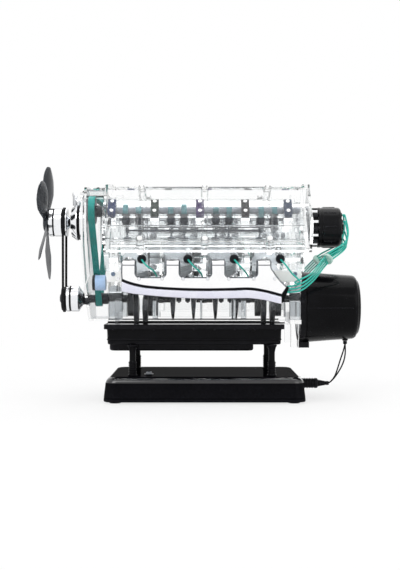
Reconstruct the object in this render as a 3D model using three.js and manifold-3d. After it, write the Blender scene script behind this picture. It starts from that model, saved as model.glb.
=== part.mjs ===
// Motor-driven display model of a four stroke V8 engine with clear walls, on a black stand.
// Millimetres, +Z up. X runs from the fan at the front (-X) to the motor at the rear (+X),
// and the near bank of cylinders leans towards -Y.
import * as THREE from 'three';
import { mergeVertices } from 'three/addons/utils/BufferGeometryUtils.js';
import Module from 'manifold-3d';

const wasm = await Module();
wasm.setup();

// Driving dimensions

const gap = 0.3;
const overrun = 1;
const weldDistance = 0.0001;
const fineSides = 20;
const roundSides = 18;
const pistonSides = 16;
const smallSides = 10;
const tinySides = 8;
const near = 1;
const far = -1;
const bankDegrees = 45;
const bankAngle = THREE.MathUtils.degToRad(bankDegrees);
const leanShare = Math.SQRT1_2;

const base = {
  halfLength: 96, halfWidth: 65, bottom: 1.5, top: 25, wall: 2.6, draft: 1.6,
  cornerRadius: 11, edgeRadius: 7, plate: 2, footRadius: 6, footInset: 11, footHeight: 2,
};
const batteries = { radius: 7, length: 50, spacing: 15.5, x: 10, tray: 2, trayMargin: 3 };
const button = { x: -54, y: -31, width: 5.4, height: 2.6, depth: 5, hole: 0.4, lip: 1.2 };
const strut = {
  centre: -2.3, x: 67, y: 41, radius: 3, collarRadius: 3.9, collarShare: 0.432,
  headRadius: 5, headShare: 0.17,
};
const plug = {
  radius: 5, bodyLength: 20, neckLength: 8, tipRadius: 2.3, inserted: 3, height: 13.5,
};
const wire = { diameter: 1.4, sleeve: 3, sleeveRadius: 2 };
const lead = { diameter: 2 };

const crank = {
  height: 98, throwRadius: 10, journalRadius: 4, pinRadius: 4, pitch: 42.2,
  pinHalfLength: 7.5, webThickness: 5.5, webHalfWidth: 7.5, weightRadius: 20,
  noseLength: 47, couplingRadius: 6, couplingLength: 7,
};
const dowel = { radius: 0.7 };
const rod = {
  length: 51, thickness: 5, bigHalfWidth: 11, bigReach: 9.6, shankHalfWidth: 2.4, smallRadius: 2.8,
  pinRadius: 1.3, pinHalfLength: 6.4, shoulder: 8,
};
const piston = { radius: 15.1, wall: 1.6, crown: 3.4, overPin: 7, skirt: 13 };
const bank = { shift: 4.4, boreRadius: 15.7, halfWidth: 20, deck: 70, boreStart: 16 };

const block = {
  halfLength: 93, skirtHalf: 36, flangeHalf: 43, flangeHeight: 4, bottom: -23.7, valleyHalf: 8,
  cavityRadius: 26.6, cavityHalf: 33, bulkhead: 5, rearBayEnd: 78,
  ladderInner: 27, capDepth: 12, legX: 83, legWidth: 7.5, legOuter: 42, legInner: 36, legBottom: -46,
};
const cam = {
  across: 8.8, along: 109, shaftRadius: 3, journalRadius: 4, lobeRadius: 4, lobeLift: 2,
  lobeTipRadius: 2, lobeWidth: 5, saddleHalf: 10, saddleWidth: 8, endCapX: 82, capRise: 7,
  railWidth: 2.4, railHeight: 2.4,
};
// Heights in a head are shares of the way from the deck to the cam's axis
const head = {
  outer: 32, inner: 30, topShare: 0.6846, floorShare: 0.1795, roofShare: 0.1462, wall: 5, endWall: 4,
  portRadius: 5, portShare: 0.2564,
};
const valve = {
  offset: 6.2, stemRadius: 0.9, headRadius: 4.1, seatRise: 0.8, headEdge: 1,
  tappetRadius: 4.2, tappetShare: 0.5744, lash: 0.4,
  railOffset: 2.6, railSize: 1.5, railShare: 0.4103,
};
const sparkPlug = {
  offset: 10.1, tipRise: 1.5, tipAcross: -8, mouthShare: 0.5641, mouthAcross: -37,
  threadRadius: 2.3, startReach: 3.5, bootStart: 32.8, bootEnd: 43, bootRadius: 3.3,
};
const cover = {
  camRise: 17, wall: 2.2, rear: 98, outerBevel: 13, innerBevel: 6, rim: 2, rimHeight: 2.4,
  bandWidth: 7, bandRise: 1.5, bossRadius: 3.7, bossHeight: 17, bossSpacing: 59,
};

const belt = { centre: -104.9, width: 5, thickness: 1.5 };
const sprocket = {
  crankTeeth: 8, camTeeth: 16, camTip: 12, toothHeight: 0.8, hubRadius: 5.5, hubLength: 6, width: 6.6,
  rootEndShare: 0.32, tipStartShare: 0.46, tipEndShare: 0.84,
};
const roller = { radius: 7.5, along: 34, press: 2.5, back: -95.5, front: -108.4, pegRadius: 1.8 };
// The cover's upper outline is placed from the near cam's axis
const timingCover = {
  front: -118.9, lowerFront: -112.9, sideFront: -111.6, frontHalf: 44, sideHalf: 56, step: 52, wall: 2.5,
  bottom: -21.5, lowerHalf: 36, lowerHeight: -8, footHalf: 30, crankHole: 6,
  outerReach: 19.15, topOuterReach: 8.15, topInnerReach: 15.85, dipReach: 32.85,
  shoulderDrop: 16.3, sideRise: 10.7, topRise: 21.7, dipRise: 17.7,
};

const fanAxis = 76;
const pump = {
  radius: 19, faceRadius: 15, depth: 12.7, outletRadius: 2.2, outletHeight: 11, outletSpacing: 7.5,
  neckRadius: 4, neckHeight: 4,
};
const fanBelt = { centre: -139.8, width: 3.2, thickness: 1.5 };
const fanPulley = {
  front: -154.9, radius: 14, grooveRadius: 13.2, flangeRadius: 14.8, flange: 1.2, shaftRadius: 3,
  shaftEnd: -122,
};
const crankPulley = {
  front: -142.5, grooveRadius: 11.8, drumRadius: 13, drumEnd: -125, coneEnd: -120.5, hubRadius: 6,
  hubEnd: -115.6,
};
const fan = {
  bladeCount: 5, turnDegrees: 18, radius: 59.5, centre: -157.7, hubRadius: 9, hubLength: 6, thickness: 1.5,
};

const exhaust = {
  front: 96, back: 82, top: 21.8, leftEnd: -76.4, rightShoulder: 65.9, outletX: 75.9, outletTop: 12,
  outletBottomX: 70.9, outletBottom: -3.7, bottom: 1.4, leftBottom: 12.6, curveStart: 30, bevel: 2,
  runnerOffset: -2.5, runnerWidth: 14.6, flangeLowShare: 0.1026, flangeHighShare: 0.4231, elbow: 28,
};
const intake = { halfLength: 78, floor: 48, top: 62, boxHalf: 18, boxTop: 82, boxHalfLength: 60, wall: 3 };

const pan = {
  front: -96.8, rear: 76.8, halfWidth: 46, bodyHalf: 44, floorHalf: 43, flange: 4.5, depth: 19.3,
  sumpDepth: 26.3, sumpRear: 47.8, sumpHalf: 28, wall: 3, endInset: 2.5, cavityInset: 3.4, cavityHalf: 40,
};

const housing = {
  axis: -8.5, startRadius: 35.5, endRadius: 31.7, start: 93.3, shoulder: 146, end: 153,
  roundRadius: 26, wall: 2.3, footHalf: 10, footLength: 10.4, footDepth: 4.5,
  glandX: 140.6, glandRadius: 2.4, glandLength: 2,
};
const motor = {
  gearRadius: 27, gearLength: 12, pocketRadius: 7.4, pocketDepth: 8.6, canRadius: 14, canDrop: 4,
  canLength: 40,
};
const mount = { thickness: 4, halfWidth: 30, bottom: 30, top: 88, bossRadius: 12, bossLength: 6 };
const distributor = {
  axis: 71, start: 103.6, neckRadius: 12, neckEnd: 106, bodyRadius: 18, bodyEnd: 112.4,
  capRadius: 20, capEnd: 135.4, capWall: 2.4, towerRadius: 2.3, towerRing: 13, towerHeight: 1.4,
  nubRadius: 4.5, nubHeight: 3.2, shaftRadius: 3, rotorRadius: 13, rotorDiscShare: 0.7,
  clipSize: 3, clipLength: 5.6, towerCount: 8,
};
const tie = { radius: 5.8, width: 3 };

const capSpan = cam.along - bank.deck;
const headTop = bank.deck + head.topShare * capSpan;
const headFloor = head.floorShare * capSpan;
const headRoof = head.roofShare * capSpan;
const valveSeat = bank.deck + valve.seatRise;
const coverTop = cam.along + cover.camRise;
const panTop = crank.height + block.bottom - gap;
const panFloor = panTop - pan.depth;
const sumpFloor = panTop - pan.sumpDepth;
const strutTop = panFloor - gap;
const glandBottom = crank.height + housing.axis - housing.endRadius - housing.glandLength - gap;

// Solid shapes

const xAxis = new THREE.Vector3(1, 0, 0);
const yAxis = new THREE.Vector3(0, 1, 0);
const zAxis = new THREE.Vector3(0, 0, 1);

function solidFrom(geometry) {
  const bare = geometry.clone();
  for (const name of Object.keys(bare.attributes)) {
    if (name !== 'position') bare.deleteAttribute(name);
  }
  const merged = mergeVertices(bare, weldDistance);
  const points = merged.attributes.position.array;
  const corners = [];
  let volume = 0;
  for (let i = 0; i < merged.index.count; i += 3) {
    const [a, b, c] = [0, 1, 2].map((step) => merged.index.getX(i + step));
    if (a === b || b === c || c === a) continue;
    corners.push(a, b, c);
    const [va, vb, vc] = [a, b, c].map((index) => new THREE.Vector3().fromArray(points, index * 3));
    volume += va.dot(vb.cross(vc));
  }
  if (volume < 0) corners.reverse();
  const mesh = new wasm.Mesh({
    numProp: 3,
    vertProperties: Float32Array.from(points),
    triVerts: Uint32Array.from(corners),
  });
  return new wasm.Manifold(mesh);
}

function geometryFrom(solid) {
  const mesh = solid.getMesh();
  const geometry = new THREE.BufferGeometry();
  geometry.setAttribute('position', new THREE.BufferAttribute(Float32Array.from(mesh.vertProperties), 3));
  geometry.setIndex(new THREE.BufferAttribute(Uint32Array.from(mesh.triVerts), 1));
  geometry.computeVertexNormals();
  return geometry;
}

function joined(solids) {
  return solids.reduce((whole, piece) => whole.add(piece));
}

function box(x, y, z) {
  const [x0, x1] = [Math.min(...x), Math.max(...x)];
  const [y0, y1] = [Math.min(...y), Math.max(...y)];
  const [z0, z1] = [Math.min(...z), Math.max(...z)];
  const geometry = new THREE.BoxGeometry(x1 - x0, y1 - y0, z1 - z0);
  geometry.translate((x0 + x1) / 2, (y0 + y1) / 2, (z0 + z1) / 2);
  return solidFrom(geometry);
}

function around(centre, half) {
  return [centre - half, centre + half];
}

function cylinder(from, to, radius, sides = smallSides, endRadius = radius) {
  const start = new THREE.Vector3(...from);
  const end = new THREE.Vector3(...to);
  const geometry = new THREE.CylinderGeometry(endRadius, radius, start.distanceTo(end), sides);
  const direction = end.clone().sub(start).normalize();
  geometry.applyQuaternion(new THREE.Quaternion().setFromUnitVectors(yAxis, direction));
  geometry.translate(...start.add(end).divideScalar(2).toArray());
  return solidFrom(geometry);
}

function cylinderX(x, y, z, radius, sides = smallSides) {
  return cylinder([Math.min(...x), y, z], [Math.max(...x), y, z], radius, sides);
}

function extruded(outline, length, basis, origin, options = {}) {
  const shape = new THREE.Shape(outline.map(([a, b]) => new THREE.Vector2(a, b)));
  for (const hole of options.holes ?? []) {
    shape.holes.push(new THREE.Path(hole.map(([a, b]) => new THREE.Vector2(a, b))));
  }
  const bevel = options.bevel ?? 0;
  const geometry = new THREE.ExtrudeGeometry(shape, {
    depth: length - 2 * bevel, bevelEnabled: bevel > 0, bevelThickness: bevel, bevelSize: bevel,
    bevelOffset: -bevel, bevelSegments: options.bevelSteps ?? 1, curveSegments: tinySides,
  });
  geometry.translate(0, 0, bevel);
  geometry.applyMatrix4(new THREE.Matrix4().makeBasis(...basis));
  geometry.translate(...origin);
  return solidFrom(geometry);
}

// An outline of Y and Z places drawn out along X
function prismX(outline, x, options) {
  return extruded(outline, Math.abs(x[1] - x[0]), [yAxis, zAxis, xAxis], [Math.min(...x), 0, 0], options);
}

// An outline of X and Z places drawn out along Y
function prismZ(outline, z) {
  return extruded(outline, z[1] - z[0], [xAxis, yAxis, zAxis], [0, 0, z[0]]);
}

function prismY(outline, y, options) {
  const backwards = yAxis.clone().negate();
  return extruded(outline, Math.abs(y[1] - y[0]), [xAxis, zAxis, backwards], [0, Math.max(...y), 0], options);
}

// A profile of radius and height turned about an axis along X or Z
function turned(profile, sides, axis, origin) {
  const geometry = new THREE.LatheGeometry(profile.map(([r, h]) => new THREE.Vector2(r, h)), sides);
  const basis = axis === xAxis ? [zAxis, xAxis, yAxis] : [yAxis, zAxis, xAxis];
  geometry.applyMatrix4(new THREE.Matrix4().makeBasis(...basis));
  geometry.translate(...origin);
  return solidFrom(geometry);
}

// Rings of equally many points, skinned from the first to the last
function loft(rings) {
  const count = rings[0].length;
  const points = rings.flat();
  const faces = [];
  for (let ring = 0; ring + 1 < rings.length; ring += 1) {
    for (let i = 0; i < count; i += 1) {
      const next = (i + 1) % count;
      const [a, b] = [ring * count + i, ring * count + next];
      faces.push(a, b, b + count, a, b + count, a + count);
    }
  }
  const last = (rings.length - 1) * count;
  for (let i = 1; i + 1 < count; i += 1) {
    faces.push(0, i + 1, i, last, last + i, last + i + 1);
  }
  const geometry = new THREE.BufferGeometry();
  geometry.setAttribute('position', new THREE.Float32BufferAttribute(points.flat(), 3));
  geometry.setIndex(faces);
  return solidFrom(geometry);
}

function roundedRing(halfX, halfY, radius, z, cornerSteps = 3) {
  const ring = [];
  const corners = [[1, 1], [-1, 1], [-1, -1], [1, -1]];
  corners.forEach(([signX, signY], corner) => {
    for (let step = 0; step <= cornerSteps; step += 1) {
      const angle = (corner + step / cornerSteps) * Math.PI / 2;
      ring.push([
        signX * (halfX - radius) + radius * Math.cos(angle),
        signY * (halfY - radius) + radius * Math.sin(angle), z,
      ]);
    }
  });
  return ring;
}

function arcPoints(centre, radius, start, end, steps) {
  return Array.from({ length: steps + 1 }, (_, step) => {
    const angle = start + (end - start) * step / steps;
    return [centre[0] + radius * Math.cos(angle), centre[1] + radius * Math.sin(angle)];
  });
}

function toothedOutline(teeth, tip, height) {
  const points = [];
  const { rootEndShare, tipStartShare, tipEndShare } = sprocket;
  const root = tip - height;
  const slots = [[0, root], [rootEndShare, root], [tipStartShare, tip], [tipEndShare, tip]];
  for (let tooth = 0; tooth < teeth; tooth += 1) {
    for (const [turnShare, radius] of slots) {
      const angle = 2 * Math.PI * (tooth + turnShare) / teeth;
      points.push([radius * Math.cos(angle), radius * Math.sin(angle)]);
    }
  }
  return points;
}

function moved(outline, [a, b]) {
  return outline.map(([p, q]) => [p + a, q + b]);
}

// A belt's inner and outer outline round wheels, each outside wheel with a negative radius
function beltOutlines(wheels, thickness) {
  const headings = wheels.map((wheel, index) => {
    const next = wheels[(index + 1) % wheels.length];
    const across = next.y - wheel.y;
    const along = next.z - wheel.z;
    const distance = Math.hypot(across, along);
    return Math.atan2(along, across) - Math.asin((next.radius - wheel.radius) / distance);
  });
  const inner = [];
  const outer = [];
  wheels.forEach((wheel, index) => {
    const arriving = headings[(index + wheels.length - 1) % wheels.length];
    let turn = headings[index] - arriving;
    while (wheel.radius > 0 && turn < 0) turn += 2 * Math.PI;
    while (wheel.radius < 0 && turn > 0) turn -= 2 * Math.PI;
    const steps = Math.max(2, Math.ceil(Math.abs(turn) / (Math.PI / 10)));
    for (let step = 0; step <= steps; step += 1) {
      const heading = arriving + turn * step / steps;
      const side = [-Math.sin(heading), Math.cos(heading)];
      for (const [outline, offset] of [[inner, thickness / 2], [outer, -thickness / 2]]) {
        const reach = offset - wheel.radius;
        outline.push([wheel.y + reach * side[0], wheel.z + reach * side[1]]);
      }
    }
  });
  return { inner, outer };
}

// A path that runs straight from each point of a route to the next, a step for each
class Route extends THREE.Curve {
  constructor(points) {
    super();
    this.points = points.map((point) => new THREE.Vector3(...point));
  }

  getPoint(share) {
    const place = Math.min(Math.max(share, 0), 1) * (this.points.length - 1);
    const index = Math.min(Math.floor(place), this.points.length - 2);
    return this.points[index].clone().lerp(this.points[index + 1], place - index);
  }

  getPointAt(share) {
    return this.getPoint(share);
  }

  getTangentAt(share) {
    return this.getTangent(share);
  }
}

function tube(points, diameter) {
  const section = new THREE.Shape(
    arcPoints([0, 0], diameter / 2, 0, 2 * Math.PI, tinySides).slice(0, tinySides)
      .map(([a, b]) => new THREE.Vector2(a, b)),
  );
  return solidFrom(new THREE.ExtrudeGeometry(section, {
    steps: points.length - 1, extrudePath: new Route(points), bevelEnabled: false,
  }));
}

// Places along the engine

const throwPlaces = [-1.5, -0.5, 0.5, 1.5].map((pitchShare) => pitchShare * crank.pitch);
const outerThrows = [throwPlaces[0], throwPlaces[3]];
const innerThrows = [throwPlaces[1], throwPlaces[2]];
const mainPlaces = [-2, -1, 0, 1, 2].map((pitchShare) => pitchShare * crank.pitch);
const capPlaces = [-cam.endCapX, mainPlaces[1], 0, mainPlaces[3], cam.endCapX];

// Y and Z of a place on the near bank, from its distances along and across the bank
function bankPlace(along, across) {
  return [-(along - across) * leanShare, (along + across) * leanShare];
}

// The stand

function baseShell() {
  const { halfLength, halfWidth, bottom, top, draft, cornerRadius, edgeRadius, wall } = base;
  const ring = (inset, z) => roundedRing(halfLength - inset, halfWidth - inset, cornerRadius, z);
  const rise = top - edgeRadius;
  const arc = [0, 30, 60, 90].map((degrees) => THREE.MathUtils.degToRad(degrees));
  const outerRings = arc.map((angle) => ring(
    draft + edgeRadius * (1 - Math.cos(angle)), rise + edgeRadius * Math.sin(angle),
  ));
  const outer = loft([ring(0, bottom), ...outerRings]);
  const innerTop = top - wall;
  const inner = loft([
    roundedRing(halfLength - wall, halfWidth - wall, cornerRadius - wall, bottom - overrun),
    roundedRing(halfLength - wall - draft, halfWidth - wall - draft, cornerRadius - wall, rise - wall),
    roundedRing(halfLength - edgeRadius, halfWidth - edgeRadius, cornerRadius - wall, innerTop),
  ]);
  const socket = cylinderX([halfLength - edgeRadius, halfLength + overrun], 0, plug.height,
    plug.radius + gap);
  const buttonHole = box(
    around(button.x, button.width / 2 + button.hole), around(button.y, button.width / 2 + button.hole),
    [innerTop - overrun, top + overrun],
  );
  return joined([outer.subtract(inner).subtract(socket).subtract(buttonHole), ...supportPosts()]);
}

function baseBottomPlate() {
  const inset = base.wall + base.draft / 4 + gap;
  const z = base.footHeight + gap;
  const size = [base.halfLength - inset, base.halfWidth - inset, base.cornerRadius - base.wall];
  const plate = loft([roundedRing(...size, z), roundedRing(...size, z + base.plate)]);
  const x = base.halfLength - base.footInset;
  const y = base.halfWidth - base.footInset;
  const feet = [[-x, -y], [x, -y], [-x, y], [x, y]].map(([footX, footY]) => (
    cylinder([footX, footY, 0], [footX, footY, z + overrun], base.footRadius)
  ));
  return joined([plate, ...feet]);
}

function batteryPack() {
  const { radius, length, spacing, x, tray, trayMargin } = batteries;
  const floor = base.footHeight + base.plate + 2 * gap;
  const cells = [-1, 0, 1].map((place) => cylinderX(
    around(x, length / 2), place * spacing, floor + tray + radius - gap, radius,
  ));
  const plate = box(around(x, length / 2 + trayMargin), around(0, spacing + radius + trayMargin),
    [floor, floor + tray]);
  return joined([plate, ...cells]);
}

function baseSwitch() {
  const half = button.width / 2;
  const cap = box(around(button.x, half), around(button.y, half),
    [base.top - base.wall - button.depth, base.top + button.height]);
  const lip = box(around(button.x, half + button.lip), around(button.y, half + button.lip),
    [base.top - base.wall - button.depth, base.top - base.wall - button.depth + button.lip]);
  return cap.add(lip);
}

function supportPosts() {
  const bottom = base.top - base.wall / 2;
  const reach = strutTop - base.top;
  const collarTop = base.top + strut.collarShare * reach;
  const profile = [
    [0, bottom], [strut.collarRadius, bottom], [strut.collarRadius, collarTop],
    [strut.radius, collarTop + strut.radius / 2], [strut.radius, strutTop - strut.headShare * reach],
    [strut.headRadius, strutTop], [0, strutTop],
  ];
  return [[-1, -1], [1, -1], [-1, 1], [1, 1]].map(([signX, signY]) => (
    turned(profile, smallSides, zAxis, [strut.centre + signX * strut.x, signY * strut.y, 0])
  ));
}

function powerPlug() {
  const start = base.halfLength - plug.inserted;
  const end = start + plug.bodyLength;
  return turned([
    [0, start], [plug.radius, start], [plug.radius, end], [plug.tipRadius, end + plug.neckLength],
    [0, end + plug.neckLength],
  ], smallSides, xAxis, [0, 0, plug.height]);
}

// The two power wires, from the plug's end up to the gland under the motor housing: each stop is
// its shares of the way along and up, and its place across
const wireStops = [
  [[0, -1, 0], [0.127, -1, 0], [0.339, -2.2, 0.084], [0.576, -3, 0.227], [0.788, -3.4, 0.394],
    [0.932, -3.2, 0.561], [0.996, -2.4, 0.728], [1, -1, 0.919], [1, -1, 1]],
  [[0, 1, 0], [0.127, 1, 0], [0.305, 2, 0.05], [0.492, 2.4, 0.17], [0.636, 2.6, 0.346],
    [0.763, 2.4, 0.537], [0.915, 1.8, 0.752], [1, 1, 0.919], [1, 1, 1]],
];
const wireStart = base.halfLength - plug.inserted + plug.bodyLength + plug.neckLength + gap;
const wireRoutes = wireStops.map((stops) => stops.map(([alongShare, y, upShare]) => [
  wireStart + alongShare * (housing.glandX - wireStart), y,
  plug.height + upShare * (glandBottom - plug.height),
]));

// A short sleeve holds the two wires together at each end
function powerWires() {
  const start = wireRoutes[0][0][0];
  const end = wireRoutes[0][wireRoutes[0].length - 1][2];
  const sleeves = [
    cylinderX([start, start + wire.sleeve], 0, plug.height, wire.sleeveRadius, tinySides),
    cylinder([housing.glandX, 0, end - wire.sleeve], [housing.glandX, 0, end], wire.sleeveRadius, tinySides),
  ];
  return joined([...wireRoutes.map((route) => tube(route, wire.diameter)), ...sleeves]);
}

// The crankcase and its pan

function oilPan() {
  const { front, rear, endInset, cavityInset, wall } = pan;
  const middle = (front + rear) / 2;
  const halfLength = (rear - front) / 2;
  const slab = (halfX, halfY, z) => roundedRing(halfX, halfY, wall, z, 2)
    .map(([x, y, height]) => [x + middle, y, height]);
  const flange = loft([
    slab(halfLength, pan.halfWidth, panTop - pan.flange), slab(halfLength, pan.halfWidth, panTop),
  ]);
  const body = loft([
    slab(halfLength - endInset - wall / 2, pan.floorHalf, panFloor),
    slab(halfLength - endInset, pan.bodyHalf, panTop - overrun),
  ]);
  const sump = box([front + endInset + wall / 2, pan.sumpRear], around(0, pan.sumpHalf),
    [sumpFloor, panFloor + overrun]);
  const cavity = [front + endInset + cavityInset, rear - endInset - cavityInset];
  const hollow = box(cavity, around(0, pan.cavityHalf), [panFloor + wall, panTop + overrun]);
  const sumpHollow = box([cavity[0], pan.sumpRear - wall], around(0, pan.sumpHalf - wall),
    [sumpFloor + wall, panFloor + wall + overrun]);
  return joined([flange, body, sump]).subtract(hollow).subtract(sumpHollow);
}

function engineBlock() {
  const half = bank.halfWidth;
  const nearOutline = [
    [-block.flangeHalf, block.bottom], [-block.flangeHalf, block.bottom + block.flangeHeight],
    [-block.skirtHalf, block.bottom + block.flangeHeight],
    [-block.skirtHalf, block.skirtHalf - 2 * half * leanShare],
    bankPlace(bank.deck, -half), bankPlace(bank.deck, half),
    [-block.valleyHalf, block.valleyHalf + 2 * half * leanShare],
  ];
  const farOutline = nearOutline.map(([y, z]) => [-y, z]).reverse();
  const outline = [...nearOutline, ...farOutline].reverse();
  let body = prismX(outline, around(0, block.halfLength));
  const legs = [1, -1].map((side) => box([block.legX, block.legX + block.legWidth],
    [side * block.legInner, side * block.legOuter], [block.legBottom, block.bottom + overrun]));
  body = joined([body, ...legs]);
  for (const place of throwPlaces) {
    const start = place - (crank.pitch - block.bulkhead) / 2;
    const end = Math.min(place + (crank.pitch - block.bulkhead) / 2, block.rearBayEnd);
    const bay = [start, end];
    body = body.subtract(cylinderX(bay, 0, 0, block.cavityRadius, fineSides))
      .subtract(box(bay, around(0, block.cavityHalf), [block.bottom - overrun, 0]));
    for (const hand of [near, far]) {
      const [y0, z0] = bankPlace(bank.boreStart, 0);
      const [y1, z1] = bankPlace(bank.deck + overrun, 0);
      const x = place - hand * bank.shift;
      body = body.subtract(cylinder([x, hand * y0, z0], [x, hand * y1, z1], bank.boreRadius, roundSides));
    }
  }
  const journal = cylinderX(around(0, block.halfLength + overrun), 0, 0, crank.journalRadius + gap + gap / 2);
  const slotStart = throwPlaces[0] - (crank.pitch - block.bulkhead) / 2 - block.bulkhead;
  const ladderSlot = box([slotStart, block.rearBayEnd + block.bulkhead],
    around(0, block.cavityHalf), [block.bottom - overrun, 0]);
  const peg = cylinderX([-block.halfLength - overrun, roller.front - gap], rollerPlace[0], rollerPlace[1],
    roller.pegRadius);
  const pegRoot = cylinderX([-block.halfLength + overrun, roller.back + 2 * gap], rollerPlace[0],
    rollerPlace[1], roller.pegRadius + overrun);
  return body.subtract(journal).subtract(ladderSlot).add(peg).add(pegRoot);
}

// The ladder's rungs close the lower halves of the crank's bearings
function bearingLadder() {
  const half = block.cavityHalf - gap;
  const start = throwPlaces[0] - (crank.pitch - block.bulkhead) / 2 - block.bulkhead + gap;
  let ladder = box([start, block.rearBayEnd + block.bulkhead - gap], around(0, half),
    [-block.capDepth, -gap]);
  for (const place of throwPlaces) {
    const end = Math.min(place + (crank.pitch - block.bulkhead) / 2 + gap, block.rearBayEnd + gap);
    ladder = ladder.subtract(box([place - (crank.pitch - block.bulkhead) / 2 - gap, end],
      around(0, block.ladderInner), [-block.capDepth - overrun, 0]));
  }
  return ladder.subtract(cylinderX(around(0, block.halfLength + overrun), 0, 0,
    crank.journalRadius + gap + gap / 2));
}

// The crank train

function crankshaft() {
  const { throwRadius, journalRadius, pinRadius, pinHalfLength, webThickness } = crank;
  const webEnd = pinHalfLength + webThickness;
  const front = -block.halfLength - crank.noseLength;
  const rear = block.halfLength + gap + crank.couplingLength;
  const ends = [front, ...throwPlaces.flatMap((place) => [place - webEnd, place + webEnd]), rear];
  const pieces = [];
  for (let i = 0; i < ends.length; i += 2) {
    const start = i === 0 ? ends[i] : ends[i] - overrun;
    const end = i + 2 === ends.length ? ends[i + 1] : ends[i + 1] + overrun;
    pieces.push(cylinderX([start, end], 0, 0, journalRadius));
  }
  pieces.push(cylinderX([rear - crank.couplingLength + 2 * gap, rear], 0, 0, crank.couplingRadius));
  for (const place of throwPlaces) {
    const side = throwSide(place);
    pieces.push(cylinderX(around(place, pinHalfLength + overrun), 0, side * throwRadius, pinRadius));
    const outline = [
      ...arcPoints([0, throwRadius], crank.webHalfWidth, 0, Math.PI, 6),
      ...arcPoints([0, 0], crank.weightRadius, Math.PI * 1.25, Math.PI * 1.75, 6),
    ].map(([y, z]) => [y * side, z * side]);
    for (const end of [-1, 1]) {
      pieces.push(prismX(outline, [place + end * pinHalfLength, place + end * webEnd]));
    }
  }
  const holes = dowelSpans().map(([x, z]) => (
    cylinderX([x[0] - overrun, x[1] + overrun], 0, z, dowel.radius + gap)
  ));
  return holes.reduce((whole, hole) => whole.subtract(hole), joined(pieces));
}

// Two web dowels stand half way between the crank axis and the crank pins
function dowelSpans() {
  const inner = crank.pinHalfLength;
  const outer = inner + crank.webThickness;
  return [
    [[throwPlaces[0] - outer, throwPlaces[0] - inner], -crank.throwRadius / 2],
    [[throwPlaces[1] - outer, throwPlaces[1] - inner], crank.throwRadius / 2],
  ];
}

function webDowel(index) {
  const [x, z] = dowelSpans()[index];
  return cylinderX(x, 0, z, dowel.radius, tinySides);
}

// Each throw's pistons and rods are placed for its crank pin straight down (outer throws) or up
function throwSide(place) {
  return outerThrows.includes(place) ? -1 : 1;
}

function pistonBody(place) {
  const pinAlong = rod.length + throwSide(place) * crank.throwRadius * leanShare;
  const inside = piston.radius - piston.wall;
  const profile = [
    [0, piston.overPin], [piston.radius - gap, piston.overPin], [piston.radius, piston.overPin - gap],
    [piston.radius, -piston.skirt], [inside, -piston.skirt], [inside, piston.overPin - piston.crown],
    [0, piston.overPin - piston.crown],
  ];
  return turned(profile.reverse(), pistonSides, zAxis, [place, 0, pinAlong]);
}

function connectingRod(hand, place) {
  const half = rod.thickness / 2;
  const big = rod.bigHalfWidth;
  const inward = big - rod.shoulder + crank.pinRadius / 2;
  const outline = [
    [-big, -rod.bigReach], [big, -rod.bigReach], [big, inward / 2],
    [rod.shankHalfWidth + inward / 2, rod.shoulder], [rod.shankHalfWidth, rod.shoulder + inward],
    ...arcPoints([0, rod.length], rod.smallRadius, 0, Math.PI, 6),
    [-rod.shankHalfWidth, rod.shoulder + inward], [-rod.shankHalfWidth - inward / 2, rod.shoulder],
    [-big, inward / 2],
  ];
  const eye = arcPoints([0, 0], crank.pinRadius + gap + gap / 2, 0, -2 * Math.PI, smallSides)
    .slice(0, smallSides);
  const geometry = geometryFrom(prismX(outline, around(0, half), { holes: [eye] })
    .add(cylinderX(around(0, rod.pinHalfLength), 0, rod.length, rod.pinRadius, tinySides)));
  geometry.rotateX(hand * bankAngle);
  geometry.translate(place - hand * bank.shift, 0, throwSide(place) * crank.throwRadius);
  return solidFrom(geometry);
}

// The heads, in bank places: x from the bank's middle, y across with the inner side up, z along

function bankX(x, hand) {
  return x + hand * bank.shift;
}

function across(hand, ...values) {
  return values.map((value) => hand * value);
}

function plugDirection() {
  const { tipRise, tipAcross, mouthShare, mouthAcross } = sparkPlug;
  return new THREE.Vector2(mouthAcross - tipAcross, mouthShare * capSpan - tipRise).normalize();
}

function plugPoint(hand, x, distance) {
  const direction = plugDirection();
  return [x, hand * (sparkPlug.tipAcross + direction.x * distance),
    bank.deck + sparkPlug.tipRise + direction.y * distance];
}

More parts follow.
